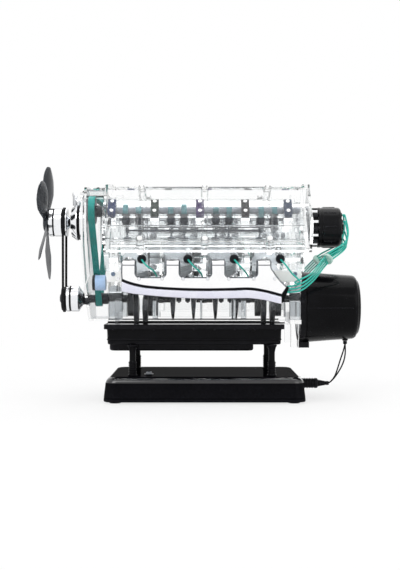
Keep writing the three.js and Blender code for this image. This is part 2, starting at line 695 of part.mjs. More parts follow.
function cylinderHead(hand) {
  const ends = [bankX(-block.halfLength, hand), bankX(block.halfLength, hand)];
  const bottom = bank.deck + gap;
  const sides = across(hand, -head.outer, head.inner);
  let body = box(ends, sides, [bottom, headTop]);
  const saddleTop = cam.along - gap / 2;
  for (const place of capPlaces) {
    body = body.add(box(around(place, cam.saddleWidth / 2), around(hand * cam.across, cam.saddleHalf),
      [headTop - overrun, saddleTop]));
  }
  body = body.subtract(box([ends[0] + head.endWall, ends[1] - head.endWall],
    across(hand, -head.outer + head.wall, head.inner - head.wall),
    [bottom + headFloor, headTop - headRoof]));
  body = body.subtract(cylinderX([ends[0] - overrun, ends[1] + overrun], hand * cam.across, cam.along,
    cam.journalRadius + gap + gap / 2));
  const camY = hand * cam.across;
  for (const place of throwPlaces) {
    for (const side of [-1, 1]) {
      const x = place + side * valve.offset;
      const seatTop = valveSeat + valve.headEdge + gap;
      const stem = cylinder([x, camY, seatTop - overrun], [x, camY, bottom + headFloor + overrun],
        valve.stemRadius + gap, tinySides);
      const seat = cylinder([x, camY, bottom - overrun], [x, camY, seatTop], valve.headRadius + gap,
        tinySides);
      const guide = cylinder([x, camY, headTop - headRoof - overrun], [x, camY, headTop + overrun],
        valve.tappetRadius + gap, tinySides);
      body = body.subtract(stem).subtract(seat).subtract(guide);
    }
    const plugX = place + sparkPlug.offset;
    body = body.subtract(cylinder(plugPoint(hand, plugX, -sparkPlug.startReach),
      plugPoint(hand, plugX, sparkPlug.bootEnd), sparkPlug.threadRadius + gap, tinySides));
    const portX = place + exhaust.runnerOffset;
    const portHeight = bank.deck + head.portShare * capSpan;
    body = body.subtract(cylinder([portX, hand * -(head.outer + overrun), portHeight],
      [portX, hand * -(head.outer - head.wall - overrun), portHeight], head.portRadius, tinySides));
  }
  return body;
}

function coverOutline(hand, inset) {
  const outer = -head.outer + inset;
  const inner = head.inner - inset;
  const top = coverTop - inset;
  const bottom = headTop + gap;
  const outline = [
    [outer, bottom], [inner, bottom], [inner, top - cover.innerBevel], [inner - cover.innerBevel, top],
    [outer + cover.outerBevel, top], [outer + cover.outerBevel / 2, top - cover.outerBevel / 4],
    [outer, top - cover.outerBevel],
  ];
  return outline.map(([v, u]) => [hand * v, u]);
}

function bossPlaces(hand) {
  return [-cover.bossSpacing, 0, cover.bossSpacing].flatMap((x) => [
    [bankX(x, hand), hand * -(head.outer + cover.rim)], [bankX(x, hand), hand * (head.inner + cover.rim)],
  ]);
}

function valveCover(hand) {
  const bottom = headTop + gap;
  const ends = [bankX(-block.halfLength, hand), bankX(cover.rear, hand)];
  const skin = prismX(coverOutline(hand, 0), ends);
  const rim = box(ends, across(hand, -head.outer - cover.rim, head.inner + cover.rim),
    [bottom, bottom + cover.rimHeight]);
  const bands = [[ends[0], ends[0] + cover.bandWidth], [ends[1] - cover.bandWidth, ends[1]]]
    .map((span) => prismX(coverOutline(hand, -cover.bandRise), span));
  const bosses = bossPlaces(hand).map(([x, y]) => cylinder([x, y, bottom],
    [x, y, bottom + cover.bossHeight], cover.bossRadius));
  const hollowOutline = coverOutline(hand, cover.wall).map(([y, z]) => [y, z === bottom ? z - overrun : z]);
  const hollow = prismX(hollowOutline, [ends[0] + cover.wall, ends[1] - cover.wall]);
  const slotRadius = cam.journalRadius + gap + gap / 2;
  const slot = cylinderX([ends[0] - overrun, ends[0] + cover.wall + overrun], hand * cam.across, cam.along,
    slotRadius);
  const slotBox = box([ends[0] - overrun, ends[0] + cover.wall + overrun],
    around(hand * cam.across, slotRadius), [bottom - overrun, cam.along]);
  return [hollow, slot, slotBox].reduce(
    (whole, cut) => whole.subtract(cut), joined([skin, rim, ...bands, ...bosses]),
  );
}

// The cam caps are held in one frame by a rail along each side
function camCapFrame(hand) {
  const bottom = cam.along + gap / 2;
  const half = cam.saddleHalf;
  const top = cam.along + cam.capRise;
  const outline = [
    [-half, bottom], [half, bottom], [half, top - cam.capRise / 2], [half - cam.capRise / 3, top],
    [-half + cam.capRise / 3, top], [-half, top - cam.capRise / 2],
  ];
  const caps = joined(capPlaces.map((place) => prismX(moved(outline, [hand * cam.across, 0]),
    around(place, cam.saddleWidth / 2 - gap))));
  const groove = cylinderX(around(0, block.halfLength + cover.rear), hand * cam.across, cam.along,
    cam.journalRadius + gap + gap / 2);
  const rails = [-1, 1].map((side) => box(around(0, cam.endCapX), [
    hand * cam.across + side * (half - cam.railWidth), hand * cam.across + side * half,
  ], [bottom, bottom + cam.railHeight]));
  return joined([caps.subtract(groove), ...rails]);
}

// The lobes of each cylinder follow its firing place, half a crank turn apart in the cycle
const firingDegrees = [0, 270, 90, 180];
const lobeSpreadDegrees = 110;

function camshaft(hand) {
  const start = bankX(belt.centre - sprocket.width / 2 - gap, hand);
  const end = bankX(block.halfLength, hand) - head.endWall;
  const y = hand * cam.across;
  const pieces = [cylinderX([start, end], y, cam.along, cam.shaftRadius, tinySides)];
  for (const place of capPlaces) {
    pieces.push(cylinderX(around(place, cam.saddleWidth / 2 + gap), y, cam.along, cam.journalRadius));
  }
  throwPlaces.forEach((place, index) => {
    for (const side of [-1, 1]) {
      const degrees = 90 + firingDegrees[index] + side * lobeSpreadDegrees / 2;
      const turn = THREE.MathUtils.degToRad(degrees);
      const tip = cam.lobeRadius + cam.lobeLift - cam.lobeTipRadius;
      const tipCentre = [tip * Math.cos(turn), tip * Math.sin(turn)];
      const outline = [
        ...arcPoints([0, 0], cam.lobeRadius, turn + Math.PI / 2, turn + Math.PI * 1.5, 6),
        ...arcPoints(tipCentre, cam.lobeTipRadius, turn - Math.PI / 3, turn + Math.PI / 3, 2),
      ];
      pieces.push(prismX(moved(outline, [y, cam.along]),
        around(place + side * valve.offset, cam.lobeWidth / 2)));
    }
  });
  return joined(pieces);
}

function camSprocket(hand) {
  const centre = bankX(belt.centre, hand);
  const half = sprocket.width / 2;
  const outline = toothedOutline(sprocket.camTeeth, sprocket.camTip, sprocket.toothHeight);
  const y = hand * cam.across;
  const wheel = prismX(moved(outline, [y, cam.along]), around(centre, half));
  const hub = cylinderX([centre, centre + half + sprocket.hubLength - gap], y, cam.along, sprocket.hubRadius);
  return wheel.add(hub);
}

// Each valve is closed, with its tappet just under the cam's lobes, and a rail joins each row
function valveRow(hand, side) {
  const seat = valveSeat;
  const tappetBottom = bank.deck + valve.tappetShare * capSpan;
  const top = cam.along - cam.lobeRadius - cam.lobeLift - valve.lash;
  const profile = [
    [0, seat], [valve.headRadius, seat], [valve.headRadius, seat + valve.headEdge],
    [valve.stemRadius, seat + valve.headEdge], [valve.stemRadius, tappetBottom],
    [valve.tappetRadius, tappetBottom], [valve.tappetRadius, top], [0, top],
  ];
  const y = hand * cam.across;
  const xs = throwPlaces.map((place) => place + side * valve.offset);
  const pieces = xs.map((x) => turned(profile, tinySides, zAxis, [x, y, 0]));
  const railY = y + side * valve.railOffset;
  const level = around(bank.deck + valve.railShare * capSpan, valve.railSize / 2);
  pieces.push(box([xs[0] - valve.stemRadius, xs[3] + valve.stemRadius],
    around(railY, valve.railSize / 2), level));
  for (const x of xs) pieces.push(box(around(x, valve.stemRadius), [y, railY], level));
  return joined(pieces);
}

// A spark plug with the lead's boot pressed over it
function pluggedBoot(hand, place) {
  const x = place + sparkPlug.offset;
  const reach = sparkPlug.bootStart + overrun;
  return joined([
    cylinder(plugPoint(hand, x, 0), plugPoint(hand, x, reach), sparkPlug.threadRadius, tinySides),
    cylinder(plugPoint(hand, x, sparkPlug.bootStart), plugPoint(hand, x, sparkPlug.bootEnd),
      sparkPlug.bootRadius, tinySides),
  ]);
}

// The belt drive at the front, in places from the crank axis

const crankTip = sprocket.camTip * sprocket.crankTeeth / sprocket.camTeeth;
const camPlace = bankPlace(cam.along, cam.across);
const rollerPlace = rollerCentre();

// The tensioner presses on the near run of the belt from outside
function rollerCentre() {
  const length = Math.hypot(...camPlace);
  const along = camPlace.map((value) => value / length);
  const outward = [-along[1], along[0]];
  const share = roller.along / length;
  const beltRadius = crankTip + (sprocket.camTip - crankTip) * share + gap + belt.thickness;
  const reach = beltRadius + roller.radius + gap - roller.press;
  return along.map((value, index) => value * roller.along + outward[index] * reach);
}

function crankSprocket() {
  const half = sprocket.width / 2;
  const outline = toothedOutline(sprocket.crankTeeth, crankTip, sprocket.toothHeight);
  const bore = cylinderX(around(belt.centre, sprocket.width + sprocket.hubLength), 0, 0,
    crank.journalRadius + gap / 2);
  const hub = cylinderX([belt.centre, belt.centre + half + sprocket.hubLength], 0, 0, sprocket.hubRadius);
  return prismX(outline, around(belt.centre, half)).add(hub).subtract(bore);
}

function timingBelt() {
  const seat = gap + belt.thickness / 2;
  const wheels = [
    { y: 0, z: 0, radius: crankTip + seat },
    { y: -camPlace[0], z: camPlace[1], radius: sprocket.camTip + seat },
    { y: camPlace[0], z: camPlace[1], radius: sprocket.camTip + seat },
    { y: rollerPlace[0], z: rollerPlace[1], radius: -(roller.radius + seat) },
  ];
  const { inner, outer } = beltOutlines(wheels, belt.thickness);
  return prismX(outer, around(belt.centre, belt.width / 2), { holes: [inner] });
}

function tensionerRoller() {
  const wheel = cylinderX([roller.front, roller.back], rollerPlace[0], rollerPlace[1], roller.radius,
    roundSides);
  const bore = cylinderX([roller.front - overrun, roller.back + overrun], rollerPlace[0], rollerPlace[1],
    roller.pegRadius + gap);
  return wheel.subtract(bore);
}

function shieldOutline(inset) {
  const t = timingCover;
  const [camY, camZ] = camPlace;
  const outer = camY - t.outerReach + inset;
  const top = camZ + t.topRise - inset;
  const nearHalf = [
    [-t.footHalf + inset, t.bottom + inset], [-t.lowerHalf + inset, t.lowerHeight],
    [outer, camZ - t.shoulderDrop], [outer, camZ + t.sideRise], [camY - t.topOuterReach, top],
    [camY + t.topInnerReach, top], [camY + t.dipReach, camZ + t.dipRise - inset],
  ];
  return [...nearHalf, ...nearHalf.map(([y, z]) => [-y, z]).reverse()].reverse();
}

function timingCoverShell() {
  const t = timingCover;
  const back = -block.halfLength - gap;
  const top = camPlace[1] + t.topRise + overrun;
  const half = t.outerReach - camPlace[0] + overrun;
  const side = (inset) => [
    [back + (inset > 0 ? overrun : 0), t.bottom - overrun], [back + (inset > 0 ? overrun : 0), top],
    [t.front + inset, top], [t.front + inset, t.step], [t.lowerFront + inset, t.bottom - overrun],
  ];
  const nearPlan = (inset) => [
    [back + overrun, -half], [t.sideFront + inset, -half], [t.sideFront + inset, -t.sideHalf],
    [t.front + inset, -t.frontHalf],
  ];
  const farPlan = (inset) => nearPlan(inset).map(([x, y]) => [x, -y]).reverse();
  const plan = (inset) => [...nearPlan(inset), ...farPlan(inset)].reverse();
  const shaped = (inset, span) => prismX(shieldOutline(inset), span)
    .intersect(prismY(side(inset), around(0, half)))
    .intersect(prismZ(plan(inset), [t.bottom - overrun, top]));
  const outer = shaped(0, [t.front - overrun, back]);
  const inner = shaped(t.wall, [t.front - overrun, back + overrun]);
  const hole = cylinderX([t.front - overrun, back], 0, 0, t.crankHole);
  return outer.subtract(inner).subtract(hole);
}

// The cooling fan and its drive

function waterPump() {
  const back = timingCover.front - gap;
  const front = back - pump.depth;
  const middle = (front + back) / 2;
  const rim = fanAxis + pump.radius;
  const body = turned([
    [0, back], [pump.radius, back], [pump.radius, front + pump.depth / 3], [pump.faceRadius, front],
    [0, front],
  ], roundSides, xAxis, [0, 0, fanAxis]);
  const neck = cylinder([middle, 0, fanAxis], [middle, 0, rim + pump.neckHeight], pump.neckRadius);
  const pipes = [-1, 1].map((side) => {
    const x = middle + side * pump.outletSpacing / 2;
    return cylinder([x, 0, rim - overrun], [x, 0, rim + pump.outletHeight], pump.outletRadius, tinySides);
  });
  const bore = cylinderX([front - overrun, fanPulley.shaftEnd + gap], 0, fanAxis,
    fanPulley.shaftRadius + gap);
  return joined([body, neck, ...pipes]).subtract(bore);
}

function fanPulleyWheel() {
  const f = fanPulley;
  const groove = around(fanBelt.centre, fanBelt.width / 2 + gap);
  return turned([
    [0, f.front], [f.radius, f.front], [f.radius, groove[0]], [f.grooveRadius, groove[0]],
    [f.grooveRadius, groove[1]], [f.flangeRadius, groove[1]], [f.flangeRadius, groove[1] + f.flange],
    [f.shaftRadius, groove[1] + f.flange], [f.shaftRadius, f.shaftEnd], [0, f.shaftEnd],
  ], roundSides, xAxis, [0, 0, fanAxis]);
}

function crankPulleyWheel() {
  const c = crankPulley;
  const bore = crank.journalRadius + gap;
  const noseFront = -block.halfLength - crank.noseLength - gap;
  const grooveEnd = fanBelt.centre + fanBelt.width / 2 + gap;
  return turned([
    [0, noseFront], [bore, noseFront], [bore, c.hubEnd], [c.hubRadius, c.hubEnd], [c.hubRadius, c.coneEnd],
    [c.drumRadius, c.drumEnd], [c.drumRadius, grooveEnd], [c.grooveRadius, grooveEnd],
    [c.grooveRadius, c.front], [0, c.front],
  ], roundSides, xAxis, [0, 0, 0]);
}

function fanDriveBelt() {
  const seat = gap + fanBelt.thickness / 2;
  const wheels = [
    { y: 0, z: 0, radius: crankPulley.grooveRadius + seat },
    { y: 0, z: fanAxis, radius: fanPulley.grooveRadius + seat },
  ];
  const { inner, outer } = beltOutlines(wheels, fanBelt.thickness);
  return prismX(outer, around(fanBelt.centre, fanBelt.width / 2), { holes: [inner] });
}

// Each blade's sections: radius and chord as shares of the fan's radius, and pitch in degrees
const bladeSections = [
  { radiusShare: 0.11, chordShare: 0.15, pitchDegrees: 14 },
  { radiusShare: 0.3, chordShare: 0.24, pitchDegrees: 18 },
  { radiusShare: 0.55, chordShare: 0.36, pitchDegrees: 24 },
  { radiusShare: 0.8, chordShare: 0.35, pitchDegrees: 21 },
  { radiusShare: 0.95, chordShare: 0.22, pitchDegrees: 18 },
  { radiusShare: 1, chordShare: 0.09, pitchDegrees: 18 },
];

function fanWheel() {
  const hub = cylinderX(around(fan.centre - gap, fan.hubLength / 2 - gap), 0, fanAxis, fan.hubRadius);
  const blades = Array.from({ length: fan.bladeCount }, (_, index) => {
    const turn = 2 * Math.PI * index / fan.bladeCount + THREE.MathUtils.degToRad(fan.turnDegrees);
    const outward = new THREE.Vector3(0, Math.sin(turn), Math.cos(turn));
    const sideways = new THREE.Vector3(0, Math.cos(turn), -Math.sin(turn));
    return loft(bladeSections.map(({ radiusShare, chordShare, pitchDegrees }) => {
      const pitch = THREE.MathUtils.degToRad(pitchDegrees);
      const chord = sideways.clone().multiplyScalar(Math.cos(pitch)).addScaledVector(xAxis, Math.sin(pitch));
      const normal = chord.clone().cross(outward).normalize();
      const middle = outward.clone().multiplyScalar(radiusShare * fan.radius)
        .add(new THREE.Vector3(fan.centre, 0, fanAxis));
      const half = chordShare * fan.radius / 2;
      const thick = fan.thickness / 2;
      return [[-1, 0], [0, -1], [1, 0], [0, 1]].map(([along, out]) => middle.clone()
        .addScaledVector(chord, along * half).addScaledVector(normal, out * thick).toArray());
    }));
  });
  return joined([hub, ...blades]);
}

// Exhaust and intake

function exhaustManifold(hand) {
  const e = exhaust;
  const outline = [
    [e.leftEnd, e.leftBottom], [e.leftEnd + e.leftBottom - e.bottom, (e.leftBottom + e.bottom) / 2],
    [e.leftEnd + e.curveStart, e.bottom], [0, e.bottom - overrun], [e.rightShoulder - e.curveStart, e.bottom],
    [e.outletBottomX, e.outletBottom], [e.outletX, e.outletTop], [e.rightShoulder, e.top], [e.leftEnd, e.top],
  ];
  const sides = [-hand * e.back, -hand * e.front];
  const collector = prismY(outline, sides, { bevel: e.bevel });
  const [flangeLow, flangeHigh] = [e.flangeLowShare, e.flangeHighShare]
    .map((share) => bankPlace(bank.deck + share * capSpan, -head.outer - gap));
  const runnerOutline = [
    flangeLow, [-e.back - e.bevel, e.top - e.bevel], [-e.front + e.bevel, e.top - e.bevel],
    [-e.front, e.top + e.bevel], [-e.front, e.elbow], [-e.front + 2 * e.bevel, e.elbow + 2 * e.bevel],
    flangeHigh,
  ].map(([y, z]) => [hand * y, z]);
  const runners = throwPlaces.map((place) => prismX(runnerOutline,
    around(place - hand * bank.shift + e.runnerOffset, e.runnerWidth / 2)));
  return joined([collector, ...runners]);
}

function intakeManifold() {
  const slope = (z) => z - 2 * (bank.halfWidth + gap) * leanShare;
  const bed = [
    [-slope(intake.floor), intake.floor], [slope(intake.floor), intake.floor],
    [slope(intake.top), intake.top], [-slope(intake.top), intake.top],
  ];
  const bedSolid = prismX(bed, around(0, intake.halfLength));
  const plenum = box(around(0, intake.boxHalfLength), around(0, intake.boxHalf),
    [intake.top - overrun, intake.boxTop]);
  const hollow = box(around(0, intake.boxHalfLength - intake.wall), around(0, intake.boxHalf - intake.wall),
    [intake.floor - overrun, intake.boxTop - intake.wall]);
  return bedSolid.add(plenum).subtract(hollow);
}

// The drive motor and its housing

function motorHousing() {
  const h = housing;
  const shell = turned([
    [0, h.end], [h.roundRadius, h.end], [h.endRadius - h.wall / 2, h.end - h.wall], [h.endRadius, h.shoulder],
    [h.startRadius, h.start], [h.startRadius - h.wall, h.start], [h.endRadius - h.wall, h.shoulder],
    [h.roundRadius, h.end - h.wall], [0, h.end - h.wall],
  ], fineSides, xAxis, [0, 0, h.axis]);
  const foot = box([h.start, h.start + h.footLength], around(0, h.footHalf),
    [h.axis - h.startRadius + h.wall / 2, h.axis - h.startRadius - h.footDepth]);
  const gland = cylinder([h.glandX, 0, h.axis - h.endRadius - h.glandLength],
    [h.glandX, 0, h.axis - h.endRadius + h.wall / 2], h.glandRadius);
  return joined([shell, foot, gland]);
}

function gearMotor() {
  const start = housing.start;
  const end = start + motor.gearLength;
  const gears = cylinderX([start, end], 0, housing.axis, motor.gearRadius, fineSides);
  const can = cylinderX([end - overrun, end + motor.canLength], 0, housing.axis - motor.canDrop,
    motor.canRadius);
  const pocket = cylinderX([start - overrun, start + motor.pocketDepth], 0, 0, motor.pocketRadius);
  return gears.add(can).subtract(pocket);
}

// The ignition, driven at half the crank's speed

function distributorMount() {
  const start = block.halfLength + gap;
  const plate = box([start, start + mount.thickness], around(0, mount.halfWidth), [mount.bottom, mount.top]);
  const boss = cylinderX([start, start + mount.thickness + mount.bossLength - gap], 0, distributor.axis,
    mount.bossRadius);
  return plate.add(boss);
}

function distributorBody() {
  const d = distributor;
  const bore = d.shaftRadius + gap;
  const body = turned([
    [bore, d.bodyEnd], [d.bodyRadius, d.bodyEnd], [d.bodyRadius, d.neckEnd + gap], [d.neckRadius, d.neckEnd],
    [d.neckRadius, d.start], [bore, d.start], [bore, d.bodyEnd],
  ], roundSides, xAxis, [0, 0, d.axis]);
  const clips = Array.from({ length: d.towerCount }, (_, index) => {
    const turn = 2 * Math.PI * (index + 0.5) / d.towerCount;
    const centre = [d.bodyRadius * Math.cos(turn), d.axis + d.bodyRadius * Math.sin(turn)];
    return box(around((d.neckEnd + d.bodyEnd) / 2, d.clipLength / 2), around(centre[0], d.clipSize / 2),
      around(centre[1], d.clipSize / 2));
  });
  return joined([body, ...clips]);
}

function towerPlace(index) {
  const turn = 2 * Math.PI * (index + 0.5) / distributor.towerCount;
  return [distributor.towerRing * Math.cos(turn), distributor.axis + distributor.towerRing * Math.sin(turn)];
}

function distributorCap() {
  const d = distributor;
  const start = d.bodyEnd + gap;
  const inner = d.capRadius - d.capWall;
  const cup = turned([
    [0, d.capEnd], [d.capRadius - gap, d.capEnd], [d.capRadius, d.capEnd - gap], [d.capRadius, start],
    [inner, start], [inner, d.capEnd - d.capWall], [0, d.capEnd - d.capWall],
  ], fineSides, xAxis, [0, 0, d.axis]);
  const towers = Array.from({ length: d.towerCount }, (_, index) => cylinderX(
    [d.capEnd - overrun, d.capEnd + d.towerHeight], ...towerPlace(index), d.towerRadius, tinySides,
  ));
  const nub = cylinderX([d.capEnd - overrun, d.capEnd + d.nubHeight], 0, d.axis, d.nubRadius);
  return joined([cup, ...towers, nub]);
}

function distributorRotor() {
  const d = distributor;
  const head = d.capEnd - d.capWall - 2 * overrun;
  const shaft = cylinderX([d.start + gap, head], 0, d.axis, d.shaftRadius);
  const armStart = d.bodyEnd + 2 * overrun;
  const arm = box([armStart, armStart + 2 * d.shaftRadius], around(0, d.shaftRadius),
    [d.axis, d.axis + d.rotorRadius]);
  const disc = cylinderX([armStart, armStart + d.shaftRadius], 0, d.axis,
    d.rotorDiscShare * d.rotorRadius);
  return joined([shaft, arm, disc]);
}

// Each ignition lead runs from its tower through the tie and behind the exhaust to its plug. Heights
// are above the crank axis, and the last stops are placed from the end of the boot.
const leadStops = {
  straight: 1.2, straightStep: 0.5, turn: [138.2, 22, 50], tie: [118, 42, 39], drop: [100, 64, 16],
  rail: [84, 75, 8], railEnd: 20, lift: [12, -17.6, -12.8], over: [4, 6.4, -4.8], spread: 2.9,
};

function worldPlace(hand, [x, y, z]) {
  const [across, up] = bankPlace(z, hand * y);
  return [x - hand * bank.shift, hand * across, up + crank.height];
}

function leadRoute(hand, index) {
  const tower = towerPlace(hand === near ? 5 - index : (6 + index) % distributor.towerCount);
  const rise = leadStops.spread * index;
  const plugX = throwPlaces[index] + sparkPlug.offset;
  const inside = worldPlace(hand, plugPoint(hand, plugX, sparkPlug.bootEnd - overrun));
  const side = -hand;
  const { straight, straightStep, turn, tie: knot, drop, rail, railEnd, lift, over, spread } = leadStops;
  const placed = ([x, y, z], lifted) => [x, side * y, z + crank.height + lifted];
  const fromBoot = ([x, y, z]) => [inside[0] + x, inside[1] + side * y, inside[2] + z];
  const towerEnd = distributor.capEnd + distributor.towerHeight + gap;
  const railPlace = placed(rail, rise);
  return [
    [towerEnd, tower[0], tower[1] + crank.height],
    [towerEnd + straight + straightStep * index, tower[0], tower[1] + crank.height],
    [turn[0] + straightStep * index, side * turn[1], turn[2] + crank.height + rise],
    placed(knot, rise - spread - spread / 2),
    placed(drop, rise),
    railPlace,
    [inside[0] + railEnd, railPlace[1], railPlace[2]],
    fromBoot(lift),
    fromBoot(over),
    inside,
  ];
}

function ignitionLeads(hand) {
  const leads = [0, 1, 2, 3].map((index) => tube(leadRoute(hand, index), lead.diameter));
  const knot = leadStops.tie;
  const middle = new THREE.Vector3(knot[0], -hand * knot[1], knot[2] + crank.height);
  const along = new THREE.Vector3(...leadRoute(hand, 1)[4]).sub(middle).setLength(tie.width / 2);
  const clip = cylinder(middle.clone().sub(along).toArray(), middle.clone().add(along).toArray(), tie.radius);
  const boots = throwPlaces.map((place) => {
    const geometry = geometryFrom(pluggedBoot(hand, place));
    geometry.rotateX(hand * bankAngle);
    geometry.translate(-hand * bank.shift, 0, crank.height);
    return solidFrom(geometry);
  });
  return joined([...leads, clip, ...boots]);
}

// Materials and assembly

function look(color, roughness, metalness = 0, opacity = 1) {
  return new THREE.MeshStandardMaterial({ color, roughness, metalness, opacity, transparent: opacity < 1 });
}

const looks = {
  clear: () => look(0xe8eef0, 0.12, 0, 0.35),
  blackGloss: () => look(0x0b0b0d, 0.15),
  blackSatin: () => look(0x141416, 0.45),
  chrome: () => look(0xd9dcde, 0.08, 1),
  darkGrey: () => look(0x3a3d42, 0.5),
  steel: () => look(0x9a9ea3, 0.3, 0.9),
  white: () => look(0xe9e9e6, 0.4),
  teal: () => look(0x128a80, 0.5),
  paleBlue: () => look(0xa9c6e6, 0.3),
  capColour: () => look(0x27385c, 0.4),
  rubber: () => look(0x101010, 0.8),
};

const model = new THREE.Group();
const engine = new THREE.Group();
engine.position.z = crank.height;
model.add(engine);
const banks = new Map();
for (const hand of [near, far]) {
  const group = new THREE.Group();
  group.rotation.x = hand * bankAngle;
  group.position.x = -hand * bank.shift;
  engine.add(group);
  banks.set(hand, group);
}

function add(parent, name, solid, material) {
  const mesh = new THREE.Mesh(geometryFrom(solid), material);
  mesh.name = name;
  parent.add(mesh);
}

add(model, 'base_shell', baseShell(), looks.blackGloss());
add(model, 'base_bottom_plate', baseBottomPlate(), looks.blackSatin());
add(model, 'battery_pack', batteryPack(), looks.darkGrey());
add(model, 'base_switch', baseSwitch(), looks.darkGrey());
add(model, 'power_plug', powerPlug(), looks.rubber());
add(model, 'power_wires', powerWires(), looks.rubber());
add(model, 'oil_pan', oilPan(), looks.blackSatin());

add(engine, 'engine_block', engineBlock(), looks.clear());
add(engine, 'main_bearing_ladder', bearingLadder(), looks.clear());
add(engine, 'crankshaft', crankshaft(), looks.darkGrey());
add(engine, 'outer_web_dowel', webDowel(0), looks.steel());
add(engine, 'inner_web_dowel', webDowel(1), looks.steel());
add(engine, 'crank_sprocket', crankSprocket(), looks.darkGrey());
add(engine, 'timing_belt', timingBelt(), looks.teal());
add(engine, 'tensioner_roller', tensionerRoller(), looks.paleBlue());
add(engine, 'timing_cover', timingCoverShell(), looks.clear());
add(engine, 'water_pump', waterPump(), looks.chrome());
add(engine, 'fan_pulley', fanPulleyWheel(), looks.chrome());
add(engine, 'crank_pulley', crankPulleyWheel(), looks.chrome());
add(engine, 'fan_belt', fanDriveBelt(), looks.rubber());
add(engine, 'fan', fanWheel(), looks.blackSatin());
add(engine, 'intake_manifold', intakeManifold(), looks.clear());
add(engine, 'motor_housing', motorHousing(), looks.blackGloss());
add(engine, 'gear_motor', gearMotor(), looks.steel());
add(engine, 'distributor_mount', distributorMount(), looks.clear());
add(engine, 'distributor_body', distributorBody(), looks.blackSatin());
add(engine, 'distributor_cap', distributorCap(), looks.blackSatin());
add(engine, 'distributor_rotor', distributorRotor(), looks.white());

for (const [hand, side] of [[near, 'near'], [far, 'far']]) {
  const group = banks.get(hand);
  add(group, `${side}_cylinder_head`, cylinderHead(hand), looks.clear());
  add(group, `${side}_valve_cover`, valveCover(hand), looks.clear());
  add(group, `${side}_cam_cap_frame`, camCapFrame(hand), looks.capColour());
  add(group, `${side}_camshaft`, camshaft(hand).add(camSprocket(hand)), looks.steel());
  add(group, `${side}_front_valves`, valveRow(hand, -1), looks.darkGrey());
  add(group, `${side}_rear_valves`, valveRow(hand, 1), looks.darkGrey());
  throwPlaces.forEach((place, index) => {
    add(group, `${side}_piston_${index + 1}`, pistonBody(place), looks.steel());
    add(engine, `${side}_rod_${index + 1}`, connectingRod(hand, place), looks.darkGrey());
  });
  add(engine, `${side}_exhaust_manifold`, exhaustManifold(hand), looks.chrome());
  add(model, `${side}_ignition_leads`, ignitionLeads(hand), looks.teal());
}

// The origin lies under the middle of the model's box, on the surface that it stands on
const cordNames = ['power_plug', 'power_wires'];
model.updateMatrixWorld(true);
const bounds = new THREE.Box3();
model.traverse((object) => {
  if (object.isMesh && !cordNames.includes(object.name)) bounds.expandByObject(object, true);
});
const middle = bounds.getCenter(new THREE.Vector3());
model.position.set(-middle.x, -middle.y, -bounds.min.z);

export default model;
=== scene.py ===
# Clear-walled four stroke V8 display model on a black stand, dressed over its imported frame.
import bpy, bmesh, math
from mathutils import Matrix, Vector


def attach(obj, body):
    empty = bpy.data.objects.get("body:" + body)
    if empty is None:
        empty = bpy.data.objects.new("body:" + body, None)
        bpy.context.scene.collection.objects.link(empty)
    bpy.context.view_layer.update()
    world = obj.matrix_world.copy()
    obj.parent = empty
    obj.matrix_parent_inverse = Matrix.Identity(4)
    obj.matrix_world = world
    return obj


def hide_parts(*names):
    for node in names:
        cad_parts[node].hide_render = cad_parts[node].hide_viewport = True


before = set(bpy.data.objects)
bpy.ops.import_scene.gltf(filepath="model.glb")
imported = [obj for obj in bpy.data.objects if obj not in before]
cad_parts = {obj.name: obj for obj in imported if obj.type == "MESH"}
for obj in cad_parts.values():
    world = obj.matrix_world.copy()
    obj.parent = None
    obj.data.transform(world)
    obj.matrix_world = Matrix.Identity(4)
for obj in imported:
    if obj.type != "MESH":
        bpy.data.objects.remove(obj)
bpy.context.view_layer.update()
mm = 0.001
shiftX = 4.528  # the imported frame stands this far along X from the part's own places
crankHeight = 98
fanHeight = 76  # the fan's axis over the crank's
lean = math.sqrt(0.5)  # both banks lean out by 45 degrees
stand = "stand_and_block"
hands = {"near": 1, "far": -1}
throws = [-63.3, -21.1, 21.1, 63.3]
bankShift = 4.4  # each bank is moved this far along the crank, as two rods share a pin
print("frame loaded")


def at(x, y, z):
    return Vector(((x + shiftX) * mm, y * mm, z * mm))


def engineAt(x, y, z):
    return at(x, y, z + crankHeight)


# a place on a bank: across is positive towards the valley, along runs up the bores
def bankAt(hand, x, across, along):
    return engineAt(x - hand * bankShift, -hand * (along - across) * lean, (along + across) * lean)


def bankUp(hand):
    return (bankAt(hand, 0, 0, 1) - bankAt(hand, 0, 0, 0)).normalized()


def newObject(name, data):
    made = bpy.data.objects.new(name, data)
    bpy.context.scene.collection.objects.link(made)
    return made


# the camera

cameraPlan = {"x": -3.9, "distance": 1100, "height": 123, "lens": 99, "sensor": 36, "shiftX": -0.00125,
              "shiftY": -0.02875}
cameraData = bpy.data.cameras.new("photoCamera")
cameraData.sensor_fit = "HORIZONTAL"
cameraData.sensor_width = cameraPlan["sensor"]
cameraData.lens = cameraPlan["lens"]
cameraData.shift_x = cameraPlan["shiftX"]
cameraData.shift_y = cameraPlan["shiftY"]
camera = newObject("photoCamera", cameraData)
camera.location = at(cameraPlan["x"], -cameraPlan["distance"], cameraPlan["height"])
camera.rotation_euler = (math.radians(90), 0, 0)
bpy.context.scene.camera = camera
bpy.context.scene.view_settings.view_transform = "Standard"

# shader groups

mottlePlan = {"detail": 5, "blur": 0.6, "mask": (0.35, 0.68), "spread": (0.3, 0.7)}
grainPlan = {"scale": 1500, "detail": 3, "pits": 0.3}
wearAndHighlightPlan = {"edge": (0.51, 0.6), "scale": 400, "detail": 4, "amount": 0.5}
midGrey, lowGrey, highGrey = ((tone, tone, tone, 1) for tone in (0.5, 0.4, 0.6))


